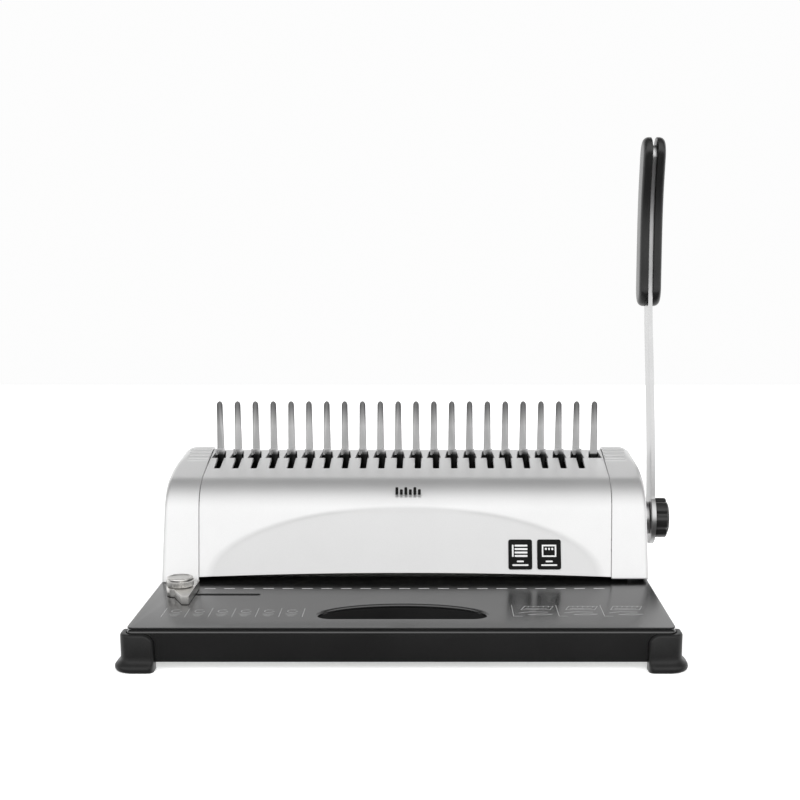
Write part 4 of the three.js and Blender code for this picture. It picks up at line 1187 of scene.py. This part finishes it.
FLOOR_HALF = 1.6
FLOOR_GLOW = 0.42
floor_mesh = bpy.data.meshes.new("floor")
floor_corners = [(x * FLOOR_HALF, y * FLOOR_HALF, 0) for x, y in ((-1, -1), (1, -1), (1, 1), (-1, 1))]
floor_mesh.from_pydata(floor_corners, [], [(0, 1, 2, 3)])
floor = link("floor", floor_mesh)
floor_material, floor_nodes, floor_links, floor_shader = node_material("floor_paper")
floor_noise = noise(floor_nodes, 6.0, 2.0)
floor_ramp = floor_nodes.new("ShaderNodeValToRGB")
fill_ramp(floor_ramp.color_ramp, [(0.0, 0.93), (1.0, 0.95)])
floor_links.new(floor_noise.outputs["Fac"], floor_ramp.inputs["Fac"])
floor_links.new(floor_ramp.outputs["Color"], floor_shader.inputs["Base Color"])
floor_shader.inputs["Roughness"].default_value = 0.9
floor_shader.inputs["Emission Color"].default_value = (1, 1, 1, 1)
floor_shader.inputs["Emission Strength"].default_value = FLOOR_GLOW
floor_shader.inputs["Specular IOR Level"].default_value = 0.1
floor.data.materials.append(floor_material)
floor.visible_glossy = False


def area_light(name, location, target, size, power):
    data = bpy.data.lights.new(name, "AREA")
    data.shape = "RECTANGLE"
    data.size, data.size_y = size
    data.energy = power
    obj = link(name, data)
    obj.location = location
    obj.rotation_euler = (Vector(target) - Vector(location)).to_track_quat("-Z", "Y").to_euler()
    obj.visible_glossy = False


area_light("front_softbox", (0.1, -1.5, 1.0), (0, 0.0, 0.08), (2.2, 0.8), 13)
area_light("left_softbox", (-1.7, -0.1, 0.8), (0, 0, 0.1), (1.2, 1.0), 3)
area_light("right_softbox", (1.7, -0.1, 0.8), (0, 0, 0.1), (1.2, 1.0), 3)
area_light("rear_softbox", (0.0, 1.7, 0.8), (0, 0, 0.1), (2.0, 0.8), 5)

world = bpy.data.worlds.new("studio")
bpy.context.scene.world = world
world.use_nodes = True
sky, wires = world.node_tree.nodes, world.node_tree.links
sky_coords = sky.new("ShaderNodeTexCoord")
sky_split = sky.new("ShaderNodeSeparateXYZ")
wires.new(sky_coords.outputs["Generated"], sky_split.inputs["Vector"])
# Bright walls in front and behind, a darker ceiling between them and a dark desk in front, by the
# angle round the X axis: 0 at the rear horizon, 0.25 straight down, 0.5 at the front horizon and
# 0.75 straight up. The camera itself sees plain white paper.
SKY_TONES = (
    (0.0, 0.80), (0.20, 0.60), (0.30, 0.05), (0.495, 0.06), (0.515, 0.80), (0.60, 1.0), (0.68, 0.80),
    (0.76, 0.22), (0.83, 0.03), (0.87, 0.22), (0.905, 0.68), (1.0, 0.80),
)
SKY_STRENGTH = 1.6
PAPER_WHITE = 0.98
sky_flip = sky.new("ShaderNodeMath")
sky_flip.operation = "MULTIPLY"
sky_flip.inputs[1].default_value = -1.0
wires.new(sky_split.outputs["Y"], sky_flip.inputs[0])
sky_angle = sky.new("ShaderNodeMath")
sky_angle.operation = "ARCTAN2"
wires.new(sky_split.outputs["Z"], sky_angle.inputs[0])
wires.new(sky_flip.outputs[0], sky_angle.inputs[1])
sky_share = sky.new("ShaderNodeMath")
sky_share.operation = "MULTIPLY_ADD"
sky_share.inputs[1].default_value = 0.5 / math.pi
sky_share.inputs[2].default_value = 0.5
wires.new(sky_angle.outputs[0], sky_share.inputs[0])
sky_ramp = sky.new("ShaderNodeValToRGB")
fill_ramp(sky_ramp.color_ramp, SKY_TONES)
wires.new(sky_share.outputs[0], sky_ramp.inputs["Fac"])
sky_path = sky.new("ShaderNodeLightPath")
sky_mix = sky.new("ShaderNodeMix")
sky_mix.data_type = "RGBA"
sky_mix.inputs["B"].default_value = (*grey(PAPER_WHITE / SKY_STRENGTH), 1)
wires.new(sky_path.outputs["Is Camera Ray"], sky_mix.inputs["Factor"])
wires.new(sky_ramp.outputs["Color"], sky_mix.inputs["A"])
wires.new(sky_mix.outputs["Result"], sky["Background"].inputs["Color"])
sky["Background"].inputs["Strength"].default_value = SKY_STRENGTH
bpy.context.scene.view_settings.view_transform = "Standard"

CAMERA_POINT = (22.5, -860.1, 284.7)
CAMERA_TILT = 10.53
camera_data = bpy.data.cameras.new("camera")
camera_data.lens = 60.75
camera_data.sensor_width = 36
camera_data.shift_x = -0.044
camera_data.shift_y = 0.1075
camera_data.clip_end = 20
camera = link("camera", camera_data)
camera.location = place(CAMERA_POINT)
camera.rotation_euler = (math.radians(90 - CAMERA_TILT), 0, 0)
bpy.context.scene.camera = camera
